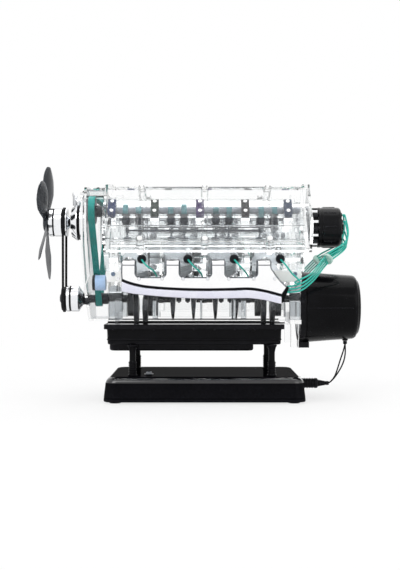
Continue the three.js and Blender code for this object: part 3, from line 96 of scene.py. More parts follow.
def newGroup(name, inputs, outputs):
    tree = bpy.data.node_groups.new(name, "ShaderNodeTree")
    for label, kind, value in inputs:
        socket = tree.interface.new_socket(name=label, in_out="INPUT", socket_type="NodeSocket" + kind)
        socket.default_value = value
    for label, kind in outputs:
        tree.interface.new_socket(name=label, in_out="OUTPUT", socket_type="NodeSocket" + kind)
    return tree, tree.nodes.new("NodeGroupInput"), tree.nodes.new("NodeGroupOutput")


def addNode(tree, kind, links=None, **settings):
    node = tree.nodes.new("ShaderNode" + kind)
    for key, value in settings.items():
        setattr(node, key, value)
    for key, value in (links or {}).items():
        if isinstance(value, bpy.types.NodeSocket):
            tree.links.new(value, node.inputs[key])
        else:
            node.inputs[key].default_value = value
    return node


def mathNode(tree, operation, first, second, clamp=False):
    return addNode(tree, "Math", {0: first, 1: second}, operation=operation, use_clamp=clamp).outputs["Value"]


def ranged(tree, value, low, high, **more):
    links = {"Value": value, "From Min": low, "From Max": high}
    links.update({key.replace("to", "To "): level for key, level in more.items()})
    return addNode(tree, "MapRange", links).outputs["Result"]


def blended(tree, share, first, second):
    return addNode(tree, "Mix", {0: share, 6: first, 7: second}, data_type="RGBA").outputs[2]


# slow tone changes of a moulding, and a roughness that changes with them
def makeMottle():
    tree, given, out = newGroup("mouldingMottle", [
        ("Colour", "Color", midGrey), ("Second Colour", "Color", lowGrey), ("Scale", "Float", 60),
        ("Low Roughness", "Float", 0.2), ("High Roughness", "Float", 0.35),
    ], [("Colour", "Color"), ("Roughness", "Float")])
    spot = addNode(tree, "TexCoord").outputs["Object"]
    cloud = addNode(tree, "TexNoise", {"Vector": spot, "Scale": given.outputs["Scale"],
                                       "Detail": mottlePlan["detail"],
                                       "Roughness": mottlePlan["blur"]}).outputs["Fac"]
    mask = ranged(tree, cloud, *mottlePlan["mask"])
    rough = ranged(tree, cloud, *mottlePlan["spread"], toMin=given.outputs["Low Roughness"],
                   toMax=given.outputs["High Roughness"])
    tree.links.new(blended(tree, mask, given.outputs["Colour"], given.outputs["Second Colour"]),
                   out.inputs["Colour"])
    tree.links.new(rough, out.inputs["Roughness"])
    return tree


# fine grain left by the mould, with sparse pits
def makeGrain():
    tree, given, out = newGroup("mouldGrain", [
        ("Scale", "Float", grainPlan["scale"]), ("Pits", "Float", grainPlan["pits"])], [("Height", "Float")])
    place = {"Vector": addNode(tree, "TexCoord").outputs["Object"], "Scale": given.outputs["Scale"]}
    fine = addNode(tree, "TexNoise", {**place, "Detail": grainPlan["detail"]}).outputs["Fac"]
    cells = addNode(tree, "TexVoronoi", place).outputs["Distance"]
    pits = mathNode(tree, "MULTIPLY", cells, given.outputs["Pits"])
    tree.links.new(mathNode(tree, "ADD", fine, pits), out.inputs["Height"])
    return tree


# handling wear and painted highlight: convex edges show the lighter worn colour in broken patches, which also
# paints a highlight along the edges
def makeEdgeWearAndHighlight():
    tree, given, out = newGroup("edgeWearAndHighlight", [
        ("Colour", "Color", midGrey), ("Worn And Highlight Colour", "Color", highGrey),
        ("Amount", "Float", wearAndHighlightPlan["amount"]),
    ], [("Colour", "Color"), ("Mask", "Float")])
    edge = ranged(tree, addNode(tree, "NewGeometry").outputs["Pointiness"], *wearAndHighlightPlan["edge"])
    broken = addNode(tree, "TexNoise", {"Vector": addNode(tree, "TexCoord").outputs["Object"],
                                        "Scale": wearAndHighlightPlan["scale"],
                                        "Detail": wearAndHighlightPlan["detail"]}).outputs["Fac"]
    patch = mathNode(tree, "MULTIPLY", edge, broken)
    mask = mathNode(tree, "MULTIPLY", patch, given.outputs["Amount"], clamp=True)
    tree.links.new(blended(tree, mask, given.outputs["Colour"], given.outputs["Worn And Highlight Colour"]),
                   out.inputs["Colour"])
    tree.links.new(mask, out.inputs["Mask"])
    return tree


mottleGroup = makeMottle()
grainGroup = makeGrain()
wearAndHighlightGroup = makeEdgeWearAndHighlight()


def colour(text, alpha=1):
    parts = [int(text[i:i + 2], 16) / 255 for i in (0, 2, 4)]
    return tuple(((c + 0.055) / 1.055) ** 2.4 if c > 0.04045 else c / 12.92 for c in parts) + (alpha,)


# tone, second tone, worn tone (also a painted edge highlight), lowest and highest roughness, slot, and what
# differs from the plain finish
plainFinish = {"metal": 0, "shine": 0.5, "coat": 0, "coatRough": 0.05, "wearAndHighlight": 0.7, "mottle": 55,
               "grain": 0.12, "grainDepth": 0.0002}
# a finish's rim tone is painted shade: a dark tone on surfaces that turn away from the viewer, in place of
# dark edge reflections
finishes = {
    "standGloss": ("060608", "0a0a0d", "34343a", 0.08, 0.16, "black_gloss", {"shine": 0, "coat": 0.04}),
    "standRim": ("08080b", "0c0c10", "3c3c44", 0.05, 0.1, "black_gloss", {"coat": 0.6}),
    "drumBlack": ("040406", "08080a", "3c3c42", 0.2, 0.3, "black_gloss", {"shine": 0.04, "coat": 0.08}),
    "mouldedBlack": ("08080a", "0e0e11", "3c3c42", 0.26, 0.4, "black_satin", {"shine": 0.06, "coat": 0.04}),
    "fanGrey": ("24272c", "2d3035", "6c7178", 0.3, 0.44, "dark_grey", {"shine": 0.2}),
    "capBlack": ("070709", "0e0e11", "3c3c42", 0.2, 0.34, "black_satin", {"shine": 0.12}),
    "brightChrome": ("f4f5f7", "e8eaee", "ffffff", 0.05, 0.13, "chrome_plastic",
                     {"metal": 1, "rim": "101216", "paintedRimShadeStart": 0.5}),
    "pearlChrome": ("ffffff", "fafafb", "ffffff", 0.14, 0.24, "chrome_plastic",
                    {"metal": 0.8, "rim": "24262b", "paintedRimShadeStart": 0.42, "paintedRimShadeEnd": 0.8}),
    # the edge chrome is a painted dark reflection for bevelled edges
    "edgeShadeChrome": ("6a6d73", "585b61", "9a9da3", 0.14, 0.24, "chrome_plastic", {"metal": 0.8}),
    "lipChrome": ("e8e8f4", "dddded", "ffffff", 0.12, 0.2, "chrome_plastic",
                  {"metal": 0.8, "rim": "4a4b54", "paintedRimShadeStart": 0.7}),
    "castSteel": ("7f848b", "6c7077", "c7cbd0", 0.25, 0.4, "motor_metal", {"metal": 0.6}),
    "crankGrey": ("0d0e12", "15171b", "54585e", 0.3, 0.42, "dark_grey", {"shine": 0.12}),
    "pistonGrey": ("c6cace", "b3b8bd", "e5e8ea", 0.25, 0.36, "light_grey", {"metal": 0.15}),
    "camSilver": ("868b92", "646a72", "eceef0", 0.16, 0.28, "light_grey",
                  {"metal": 0.8, "rim": "202228", "paintedRimShadeStart": 0.5}),
    "camTeal": ("2f6a70", "245058", "8fb0b4", 0.2, 0.3, "light_grey", {"metal": 0.4}),
    "beltTeal": ("037c76", "02655f", "22908a", 0.42, 0.56, "teal_rubber", {"shine": 0.2}),
    "leadTeal": ("10bda8", "0aa292", "45c4b8", 0.28, 0.4, "teal_rubber", {}),
    "beltRubber": ("0a0a0c", "121214", "38383b", 0.55, 0.72, "black_rubber", {"shine": 0.1}),
    "bootRubber": ("070709", "0e0e10", "34343a", 0.35, 0.5, "black_rubber", {"shine": 0.1}),
    "rollerBlue": ("a3c1e6", "8daed8", "d8e6f4", 0.18, 0.28, "pale_blue", {}),
    "plateWhite": ("fcfcfb", "f4f4f2", "fdfdfd", 0.25, 0.38, "white_plastic", {}),
    "screwBlueGrey": ("6f8299", "586a80", "c3ccd8", 0.22, 0.34, "light_grey", {"metal": 0.5}),
    "switchGrey": ("82868c", "6c7076", "a0a3a8", 0.3, 0.42, "light_grey", {}),
    "tieGreen": ("a9cfc4", "93bdb1", "dfe6e1", 0.3, 0.42, "pale_blue", {}),
    "capNavy": ("142045", "0c142e", "4a587e", 0.2, 0.32, "cap_blue", {"shine": 0.04}),
    "capGreen": ("0a1311", "101d18", "3c5048", 0.2, 0.32, "cap_blue", {"shine": 0.04}),
    "capPurple": ("2c1040", "1b1338", "5a547e", 0.2, 0.32, "cap_blue", {"shine": 0.04}),
    "capCoal": ("0a0a0c", "121215", "424248", 0.2, 0.32, "cap_blue", {"shine": 0.04}),
    "capSlate": ("18233a", "121a2a", "64738a", 0.2, 0.32, "cap_blue", {"shine": 0.04}),
    "tappetGrey": ("1f2228", "2c2f36", "8a8e95", 0.25, 0.38, "dark_grey", {"shine": 0.12}),
    "seamAndReflectionBlack": ("050506", "0a0a0c", "1c1c1e", 0.4, 0.55, "black_satin", {"shine": 0.05}),
    "cellSilver": ("a4a8ac", "8d9196", "dcdfe2", 0.25, 0.36, "motor_metal", {"metal": 0.7}),
}
# clear walls are solid here, so a low index keeps what is behind them in place
clearLook = {"mottle": 30, "grainScale": 120, "grain": 0.03, "grainDepth": 0.0003, "shadow": 0.06}
# their rim tones are painted shade along edges that turn away from the viewer
clearFinishes = {
    "clearWalls": {"tones": ("fefefe", "fafbfb"), "rim": "6b7076", "paintedRimShadeStart": 0.6, "ior": 1.08,
                   "frost": 0.012, "rough": (0, 0.02)},
    "clearHeads": {"tones": ("fdfefe", "f8f9fa"), "rim": "646a70", "paintedRimShadeStart": 0.6, "ior": 1.09,
                   "frost": 0.02, "rough": (0, 0.03)},
    "clearCovers": {"tones": ("fefefe", "fafbfb"), "rim": "3e4248", "paintedRimShadeStart": 0.6, "ior": 1.22,
                    "frost": 0.008, "rough": (0, 0.02)},
    "smokedRibs": {"tones": ("dde0e2", "ccd0d3"), "rim": "2c3036", "paintedRimShadeStart": 0.35, "ior": 1.16,
                   "frost": 0.05, "rough": (0.02, 0.06)},
}
slots = {name: row[5] for name, row in finishes.items()}
slots.update({name: "clear_plastic" for name in clearFinishes})


# painted shade: surfaces that turn away from the viewer take the darker rim tone, painted in as dark edge
# lines
def paintedRimShade(tree, tone, plan):
    if "rim" not in plan:
        return tone
    facing = addNode(tree, "LayerWeight", {"Blend": 0.5}).outputs["Facing"]
    return blended(tree, ranged(tree, facing, plan["paintedRimShadeStart"], plan.get("paintedRimShadeEnd", 0.95)), tone,
                   colour(plan["rim"]))


# the start that all finishes share: mottled colour and roughness, and a grained surface
def startFinish(name, tones, rough, look, grainScale):
    material = bpy.data.materials.new(name)
    material.use_nodes = True
    tree = material.node_tree
    shader = tree.nodes["Principled BSDF"]
    mottle = addNode(tree, "Group", {
        "Colour": colour(tones[0]), "Second Colour": colour(tones[1]), "Scale": look["mottle"],
        "Low Roughness": rough[0], "High Roughness": rough[1]}, node_tree=mottleGroup)
    grit = addNode(tree, "Group", {"Scale": grainScale}, node_tree=grainGroup)
    bump = addNode(tree, "Bump", {"Height": grit.outputs["Height"], "Strength": look["grain"],
                                  "Distance": look["grainDepth"]})
    tree.links.new(mottle.outputs["Roughness"], shader.inputs["Roughness"])
    tree.links.new(bump.outputs["Normal"], shader.inputs["Normal"])
    return material, tree, shader, mottle.outputs["Colour"]


def mouldedFinish(name, row):
    tone, second, wornAndHighlight, low, high, _, changes = row
    plan = {**plainFinish, **changes}
    material, tree, shader, mottled = startFinish(name, (tone, second), (low, high), plan, grainPlan["scale"])
    # convex edges take the lighter worn tone: handling wear that also paints a highlight along the edges
    wearAndHighlight = addNode(tree, "Group", {"Colour": mottled, "Worn And Highlight Colour": colour(wornAndHighlight), "Amount": plan["wearAndHighlight"]},
                   node_tree=wearAndHighlightGroup)
    # the base colour darkens towards the rims as painted shade
    tree.links.new(paintedRimShade(tree, wearAndHighlight.outputs["Colour"], plan), shader.inputs["Base Color"])
    shader.inputs["Metallic"].default_value = plan["metal"]
    shader.inputs["Specular IOR Level"].default_value = plan["shine"]
    shader.inputs["Coat Weight"].default_value = plan["coat"]
    shader.inputs["Coat Roughness"].default_value = plan["coatRough"]
    return material


def clearFinish(name, plan):
    material, tree, shader, mottled = startFinish(name, plan["tones"], plan["rough"], clearLook,
                                                  clearLook["grainScale"])
    # the base colour darkens towards the rims as painted shade
    tree.links.new(paintedRimShade(tree, mottled, plan), shader.inputs["Base Color"])
    shader.inputs["Transmission Weight"].default_value = 1 - plan["frost"]
    shader.inputs["IOR"].default_value = plan["ior"]
    inShadow = addNode(tree, "LightPath").outputs["Is Shadow Ray"]
    tree.links.new(ranged(tree, inShadow, 0, 1, toMin=1, toMax=clearLook["shadow"]), shader.inputs["Alpha"])
    return material


finish = {name: mouldedFinish(name, row) for name, row in finishes.items()}
finish.update({name: clearFinish(name, plan) for name, plan in clearFinishes.items()})
print("finishes made")

# mesh tools


def addBevel(piece, width, segments=2, degrees=40):
    rounding = piece.modifiers.new("roundedEdges", "BEVEL")
    rounding.width = width * mm
    rounding.segments = segments
    rounding.limit_method = "ANGLE"
    rounding.angle_limit = math.radians(degrees)
    rounding.harden_normals = True
    return rounding


# a mesh becomes a piece: finishes, rounded edges, the body that it rides and the solids that it stands for
def dress(data, name, body, tones, replaces=(), bevel=0, smooth=35, edgeTone=-1):
    for tone in tones:
        data.materials.append(finish[tone])
    data.set_sharp_from_angle(angle=math.radians(smooth))
    piece = newObject(name, data)
    if bevel:
        addBevel(piece, bevel).material = edgeTone
    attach(piece, body)
    if replaces:
        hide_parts(*replaces)
    return piece


class Moulding:
    def __init__(self):
        self.mesh = bmesh.new()
        self.tone = 0

    def point(self, place):
        return self.mesh.verts.new(place)

    def face(self, points):
        made = self.mesh.faces.new(points)
        made.material_index = self.tone
        made.smooth = True

    # skin over closed rings of equal count, with flat ends
    def loft(self, rings, closed=False, capped=True):
        rows = [[self.point(place) for place in ring] for ring in rings]
        for lower, upper in zip(rows, rows[1:] + rows[:1] if closed else rows[1:]):
            count = len(lower)
            for i in range(count):
                self.face([lower[i], lower[(i + 1) % count], upper[(i + 1) % count], upper[i]])
        if capped and not closed:
            self.face(list(reversed(rows[0])))
            self.face(rows[-1])

    # profile of (place along the axis, radius), turned round the axis
    def turn(self, profile, origin, axis=(1, 0, 0), steps=64, tones=None):
        axis = Vector(axis).normalized()
        side = axis.orthogonal().normalized()
        other = axis.cross(side)
        rows = []
        for along, radius in profile:
            centre = Vector(origin) + axis * along * mm
            if radius == 0:
                rows.append([self.point(centre)])
                continue
            rows.append([self.point(centre + (side * math.cos(a) + other * math.sin(a)) * radius * mm)
                         for a in turns(steps)])
        kept = self.tone
        for index, (lower, upper) in enumerate(zip(rows, rows[1:])):
            self.tone = tones[index] if tones else kept
            for i in range(steps):
                j = (i + 1) % steps
                if len(lower) == 1 and len(upper) > 1:
                    self.face([lower[0], upper[i], upper[j]])
                elif len(upper) == 1 and len(lower) > 1:
                    self.face([lower[i], upper[0], lower[j]])
                elif len(lower) > 1:
                    self.face([lower[i], upper[i], upper[j], lower[j]])
        self.tone = kept

    # a flat outline carried from one place to another
    def extrude(self, outline, toWorld, start, end):
        self.loft([[toWorld(a, b, place) for a, b in outline] for place in (start, end)])

    def box(self, toWorld, x, y, z):
        self.extrude([(x[0], y[0]), (x[1], y[0]), (x[1], y[1]), (x[0], y[1])], toWorld, *z)

    # a round wire through places that are already in metres
    def wire(self, places, radius, sides=12):
        rings = []
        normal = None
        for index, place in enumerate(places):
            before = places[max(index - 1, 0)]
            after = places[min(index + 1, len(places) - 1)]
            heading = (after - before).normalized()
            normal = heading.orthogonal() if normal is None else normal - heading * normal.dot(heading)
            normal.normalize()
            side = heading.cross(normal)
            rings.append([place + (normal * math.cos(a) + side * math.sin(a)) * radius * mm
                          for a in turns(sides)])
        self.loft(rings)

    def asMesh(self, name, recalculated=True):
        if recalculated:
            bmesh.ops.recalc_face_normals(self.mesh, faces=self.mesh.faces)
        data = bpy.data.meshes.new(name)
        self.mesh.to_mesh(data)
        self.mesh.free()
        return data

    def finished(self, name, body, tones, replaces=(), **more):
        return dress(self.asMesh(name), name, body, tones, replaces, **more)


# cuts hollows out of a piece that is already in the scene
def carve(piece, *cutters):
    for cutter in cutters:
        data = cutter.asMesh("cutter")
        tool = newObject("cutter", data)
        cut = piece.modifiers.new("cut", "BOOLEAN")
        cut.operation = "DIFFERENCE"
        cut.object = tool
        shown = [(m.name, m.show_viewport) for m in piece.modifiers if m != cut]
        for other in piece.modifiers:
            other.show_viewport = other == cut
        bpy.context.view_layer.update()
        shaped = bpy.data.meshes.new_from_object(piece.evaluated_get(bpy.context.evaluated_depsgraph_get()))
        piece.modifiers.remove(cut)
        for key, visible in shown:
            piece.modifiers[key].show_viewport = visible
        old = piece.data
        shaped.name = old.name
        piece.data = shaped
        bpy.data.objects.remove(tool)
        bpy.data.meshes.remove(data)
        bpy.data.meshes.remove(old)
        piece.data.set_sharp_from_angle(angle=math.radians(35))


# evenly spread angles round a full turn
def turns(count, start=0):
    return [2 * math.pi * (i + start) / count for i in range(count)]


# places (y, z) on a ring round an axis that runs along the crank
def ringSpots(count, radius, height, start=0.5):
    return [(radius * math.cos(a), height + radius * math.sin(a)) for a in turns(count, start)]


def arc(centre, radius, start, end, steps):
    angles = [math.radians(start + (end - start) * i / steps) for i in range(steps + 1)]
    return [(centre[0] + radius * math.cos(a), centre[1] + radius * math.sin(a)) for a in angles]


def roundedOutline(halfX, halfY, corner, steps=10):
    return [spot for cx, cy, start in ((1, 1, 0), (-1, 1, 90), (-1, -1, 180), (1, -1, 270))
            for spot in arc((cx * (halfX - corner), cy * (halfY - corner)), corner, start, start + 90, steps)]


# the rounded shoulder of a turned profile, from one radius down to a smaller one
def shoulder(start, reach, radius, drop, steps):
    angles = [math.radians(90 * step / steps) for step in range(1, steps + 1)]
    return [(start + reach * math.sin(a), radius - drop * (1 - math.cos(a))) for a in angles]


# a rounded path through route points, in metres
def smoothPath(points, steps=6):
    places = [Vector(p) for p in points]
    ends = [places[0] * 2 - places[1]] + places + [places[-1] * 2 - places[-2]]
    path = []
    for i in range(1, len(ends) - 2):
        a, b, c, d = ends[i - 1:i + 3]
        reach = (c - b).length
        leave = (c - a).normalized() * reach / 3
        arrive = (d - b).normalized() * reach / 3
        for step in range(steps):
            t = step / steps
            path.append(b * (1 - t) ** 3 + (b + leave) * 3 * t * (1 - t) ** 2
                        + (c - arrive) * 3 * t * t * (1 - t) + c * t ** 3)
    return path + [places[-1]]


def headedScrew(shape, place, axis, radius, height):
    shape.turn([(0, 0), (0, radius), (height * 0.55, radius), (height * 0.9, radius * 0.82),
                (height, radius * 0.55), (height, radius * 0.34), (height * 0.45, radius * 0.28),
                (height * 0.45, 0)], place, axis, steps=24)


def hexHead(shape, place, axis, radius, height):
    shape.turn([(0, 0), (0, radius), (height * 0.8, radius), (height, radius * 0.85), (height, 0)], place,
               axis, steps=6)


# power wires, from the barrel plug up to the gland under the motor drum

wirePlan = {"diameter": 1.4, "bore": 0.9, "sleeveRadius": 2, "sleeve": 3, "startX": 121.3, "endX": 140.6,
            "endZ": 55.5}
wireStops = [
    [(0, -1, 0), (0.127, -1, 0), (0.339, -2.2, 0.084), (0.576, -3, 0.227), (0.788, -3.4, 0.394),
     (0.932, -3.2, 0.561), (0.996, -2.4, 0.728), (1, -1, 0.919), (1, -1, 1)],
    [(0, 1, 0), (0.127, 1, 0), (0.305, 2, 0.05), (0.492, 2.4, 0.17), (0.636, 2.6, 0.346),
     (0.763, 2.4, 0.537), (0.915, 1.8, 0.752), (1, 1, 0.919), (1, 1, 1)],
]
plugPlan = {
    "start": 93, "end": 113, "neck": 121, "height": 13.5, "radius": 5, "tip": 4.2, "neckRadius": 2.3,
    "ribs": 5, "ribStart": 5, "ribPitch": 2.6, "ribDepth": 0.5,
    "steps": 4, "stepPitch": 1.9, "stepRadius": 3.5, "stepDrop": 0.35,
}
wireRoutes = [[(wirePlan["startX"] + (wirePlan["endX"] - wirePlan["startX"]) * along, y,
                plugPlan["height"] + (wirePlan["endZ"] - plugPlan["height"]) * up) for along, y, up in stops]
              for stops in wireStops]


def barrelPlug():
    p = plugPlan
    shape = Moulding()
    start, end, radius = p["start"], p["end"], p["radius"]
    profile = [(start, 0), (start, p["tip"]), (start + 1, p["tip"] + 0.4), (start + 1.4, radius)]
    for i in range(p["ribs"]):
        x = start + p["ribStart"] + i * p["ribPitch"]
        profile += [(x, radius), (x + 0.35, radius - p["ribDepth"]), (x + 1.1, radius - p["ribDepth"]),
                    (x + 1.45, radius)]
    profile += [(end - 0.8, radius), (end, radius - 0.8)]
    for i in range(p["steps"]):  # the strain relief steps down towards the wires
        x = end + i * p["stepPitch"]
        radius = p["stepRadius"] - i * p["stepDrop"]
        profile += [(x + 0.2, radius), (x + 1.2, radius - 0.1), (x + 1.4, radius - 0.55),
                    (x + 1.9, radius - 0.55)]
    profile += [(p["neck"], p["neckRadius"] - 0.1), (p["neck"], 0)]
    shape.turn(profile, at(0, 0, p["height"]), steps=48)
    return shape.finished("barrelPlug", stand, ["bootRubber"], ["power_plug"])


def powerWires():
    plug = barrelPlug()
    sleeves = Moulding()
    w = wirePlan
    radius, reach = w["sleeveRadius"], w["sleeve"]
    profile = [(0, w["bore"]), (0, radius - 0.2), (0.2, radius), (reach - 0.5, radius), (reach, radius - 0.4),
               (reach, w["bore"])]
    sleeves.turn(profile, at(w["startX"], 0, plugPlan["height"]), steps=32)
    sleeves.turn(profile, at(w["endX"], 0, w["endZ"]), (0, 0, -1), steps=32)
    sleeve = sleeves.finished("wireSleeves", stand, ["bootRubber"], ["power_wires"])
    for letter, route in zip("AB", wireRoutes):
        path = smoothPath([at(*p) for p in route], 4)
        shape = Moulding()
        shape.wire(path, w["diameter"] / 2, 14)
        piece = shape.finished("powerWire" + letter, stand, ["beltRubber"], ["power_wires"])


powerWires()
print("camera and cords placed")

# the stand

basePlan = {
    "halfX": 96, "halfY": 65, "bottom": 1.5, "top": 25, "draft": 1.6, "corner": 11, "edge": 7,
    "rimDepth": 0.6, "grooveLow": 4.4, "grooveHigh": 5.2, "grooveDepth": 0.35,
    "socketRadius": 5.3, "socketDepth": 9,
}
switchPlan = {"x": -54, "y": -31, "width": 5.4, "top": 27.6, "bottom": 17.4, "gap": 0.4, "lip": 1.2,
              "frame": 1.3}
underPlan = {"halfX": 92.7, "halfY": 61.7, "corner": 8.4, "low": 2.3, "high": 4.3, "footX": 85, "footY": 54,
             "screwX": 66, "door": ((-24, 44), (-30, 30)), "latches": (-20, 40)}
footProfile = [(0, 0), (0, 5.2), (0.5, 5.8), (1.7, 6), (2.6, 6), (2.6, 0)]
cellPlan = {"pitch": 15.5, "x": 10, "height": 13.6, "half": 25, "radius": 7, "cap": 2.8,
            "tray": ((-18, 38), (-26.25, 26.25), (4.6, 6.6))}
legPlan = {"centre": -2.3, "x": 67, "y": 41, "bottom": 24, "radius": 3.9, "ribs": 5, "ribStart": 26.4,
           "ribPitch": 2.2, "ribDepth": 0.5, "finHalf": 0.5}
legFin = [(2.6, 44), (5.4, 53.6), (5.4, 54.4), (2.6, 54.4)]
signs = [(sx, sy) for sx in (-1, 1) for sy in (-1, 1)]


def displayBase():
    b = basePlan
    top, groove, ledge = b["top"], b["grooveDepth"], b["draft"] + b["edge"]
    levels = [(0.4, b["bottom"]), (0, b["bottom"] + 0.5), (0.05, b["grooveLow"]),
              (groove, b["grooveLow"] + 0.15), (groove, b["grooveHigh"] - 0.15), (0.1, b["grooveHigh"])]
    rise = top - b["edge"]
    for step in range(9):
        turn = math.radians(90 * step / 8)
        levels.append((b["draft"] + b["edge"] * (1 - math.cos(turn)), rise + b["edge"] * math.sin(turn)))
    levels += [(ledge + 2, top), (ledge + 2.3, top - 0.3), (ledge + 3, top - 0.3), (ledge + 3.3, top)]
    shape = Moulding()
    shape.loft([[at(x, y, z) for x, y in roundedOutline(b["halfX"] - inset, b["halfY"] - inset,
                                                        max(b["corner"] - inset * 0.3, 4), 12)]
                for inset, z in levels])
    for face in shape.mesh.faces:
        if rise + 1 < face.calc_center_median().z / mm < top - b["rimDepth"]:
            face.material_index = 1
    piece = shape.finished("displayBase", stand, ["standGloss", "standRim"], ["base_shell"])
    well = Moulding()
    w = switchPlan
    half = w["width"] / 2 + w["gap"]
    well.box(at, (w["x"] - half, w["x"] + half), (w["y"] - half, w["y"] + half),
             (w["bottom"] - 2.5, w["top"]))
    socket = Moulding()
    start = plugPlan["start"] - 1
    socket.turn([(start, 0), (start, b["socketRadius"]), (start + b["socketDepth"], b["socketRadius"]),
                 (start + b["socketDepth"], 0)], at(0, 0, plugPlan["height"]), steps=48)
    carve(piece, well, socket)
    bezel = Moulding()  # raised frames round the switch and the power socket
    outer = roundedOutline(half + w["frame"], half + w["frame"], 1, 4)
    inner = roundedOutline(half, half, 0.3, 4)
    bezel.loft([[at(w["x"] + x, w["y"] + y, top + lift) for x, y in outline]
                for outline, lift in ((outer, -0.6), (outer, 0.5), (inner, 0.5), (inner, -0.6))], closed=True)
    bore = b["socketRadius"]
    bezel.turn([(0, bore), (0, bore + 1.7), (0.7, bore + 1.5), (0.9, bore + 1), (0.9, bore), (0, bore)],
               at(b["halfX"] - 1.1, 0, plugPlan["height"]), steps=48)
    bezel.finished("switchBezel", stand, ["mouldedBlack"])


def undersidePlate():
    u = underPlan
    shape = Moulding()
    outline = roundedOutline(u["halfX"], u["halfY"], u["corner"], 10)
    shape.loft([[at(x, y, z) for x, y in outline] for z in (u["low"], u["high"])])
    for sx, sy in signs:
        shape.turn(footProfile, at(sx * u["footX"], sy * u["footY"], 0), (0, 0, 1), steps=40)
        headedScrew(shape, at(sx * u["screwX"], sy * u["footY"], u["low"]), (0, 0, -1), 2.2, 0.9)
    shape.box(at, *u["door"], (u["low"], u["low"] - 0.5))
    for x in u["latches"]:
        shape.box(at, (x - 1, x + 1), (-12, 12), (u["low"] - 0.5, u["low"] - 0.9))
    shape.finished("undersidePlate", stand, ["mouldedBlack"], ["base_bottom_plate"], bevel=0.25)


def batteryCells():
    c = cellPlan
    shape = Moulding()
    for lane in (-1, 0, 1):
        side = 1 if lane == 0 else -1
        half, radius = c["half"] * side, c["radius"]
        shape.turn([(-half, 0), (-half, radius - 0.8), (-half + side * 0.6, radius),
                    (half - side * 1.4, radius), (half - side * 0.8, radius - 0.8),
                    (half - side * 0.8, c["cap"]), (half, c["cap"] - 0.1), (half, 0)],
                   at(c["x"], lane * c["pitch"], c["height"]), steps=40)
    shape.tone = 1
    shape.box(at, *c["tray"])
    shape.finished("batteryCells", stand, ["cellSilver", "mouldedBlack"], ["battery_pack"], bevel=0.2)


def pushSwitch():
    w = switchPlan
    half, wide = w["width"] / 2, w["width"] / 2 + w["lip"]
    levels = [(wide, w["bottom"], 0.6), (wide, w["bottom"] + 1.2, 0.6), (half, w["bottom"] + 1.2, 0.5),
              (half, w["top"] - 0.8, 0.5), (half - 0.15, w["top"] - 0.3, 0.6), (half - 0.7, w["top"], 0.8),
              (half - 1.1, w["top"] - 0.15, 0.8), (half - 1.6, w["top"] - 0.4, 0.6)]
    shape = Moulding()
    shape.loft([[at(w["x"] + x, w["y"] + y, z) for x, y in roundedOutline(size, size, corner, 4)]
                for size, z, corner in levels])
    shape.finished("pushSwitch", "base_switch", ["switchGrey"], ["base_switch"])


# four legs carry the pan, each with a ribbed collar and fins under its head
def supportLegs():
    g = legPlan
    shape = Moulding()
    profile = [(g["bottom"], 0), (g["bottom"], 4.6), (25.6, 4.6), (26, g["radius"])]
    for i in range(g["ribs"]):
        z = g["ribStart"] + i * g["ribPitch"]
        profile += [(z, g["radius"]), (z + 0.3, g["radius"] - g["ribDepth"]),
                    (z + 1, g["radius"] - g["ribDepth"]), (z + 1.3, g["radius"])]
    profile += [(37.7, 3.9), (38.4, 3.2), (40, 3), (46.5, 3), (49.4, 3.2), (51.6, 3.9), (53, 4.7), (53.6, 5),
                (54.4, 5), (54.4, 0)]
    for sx, sy in signs:
        base = at(g["centre"] + sx * g["x"], sy * g["y"], 0)
        shape.turn(profile, base, (0, 0, 1), steps=40)
        for turn in turns(4, 0.5):
            axis = Vector((math.cos(turn), math.sin(turn), 0))
            side = Vector((-axis.y, axis.x, 0)) * g["finHalf"]
            shape.loft([[base + (axis * r + side * s + Vector((0, 0, z))) * mm for r, z in legFin]
                        for s in (-1, 1)])
    shape.finished("supportLegs", stand, ["mouldedBlack"], ["base_shell"], bevel=0.15)


displayBase()
undersidePlate()
batteryCells()
pushSwitch()
supportLegs()
print("stand built")

# the oil pan

panPlan = {"front": -96.8, "rear": 76.8, "half": 46, "bodyHalf": 44, "floorHalf": 43, "top": 74,
           "flange": 69.5, "floor": 54.7, "sumpFloor": 47.7, "sumpRear": 47.8, "sumpHalf": 28,
           "bolts": 9, "boltInset": 9, "boltRow": 45, "cavityInset": 5.9, "cavityHalf": 40,
           "cavityFloor": 57.7}


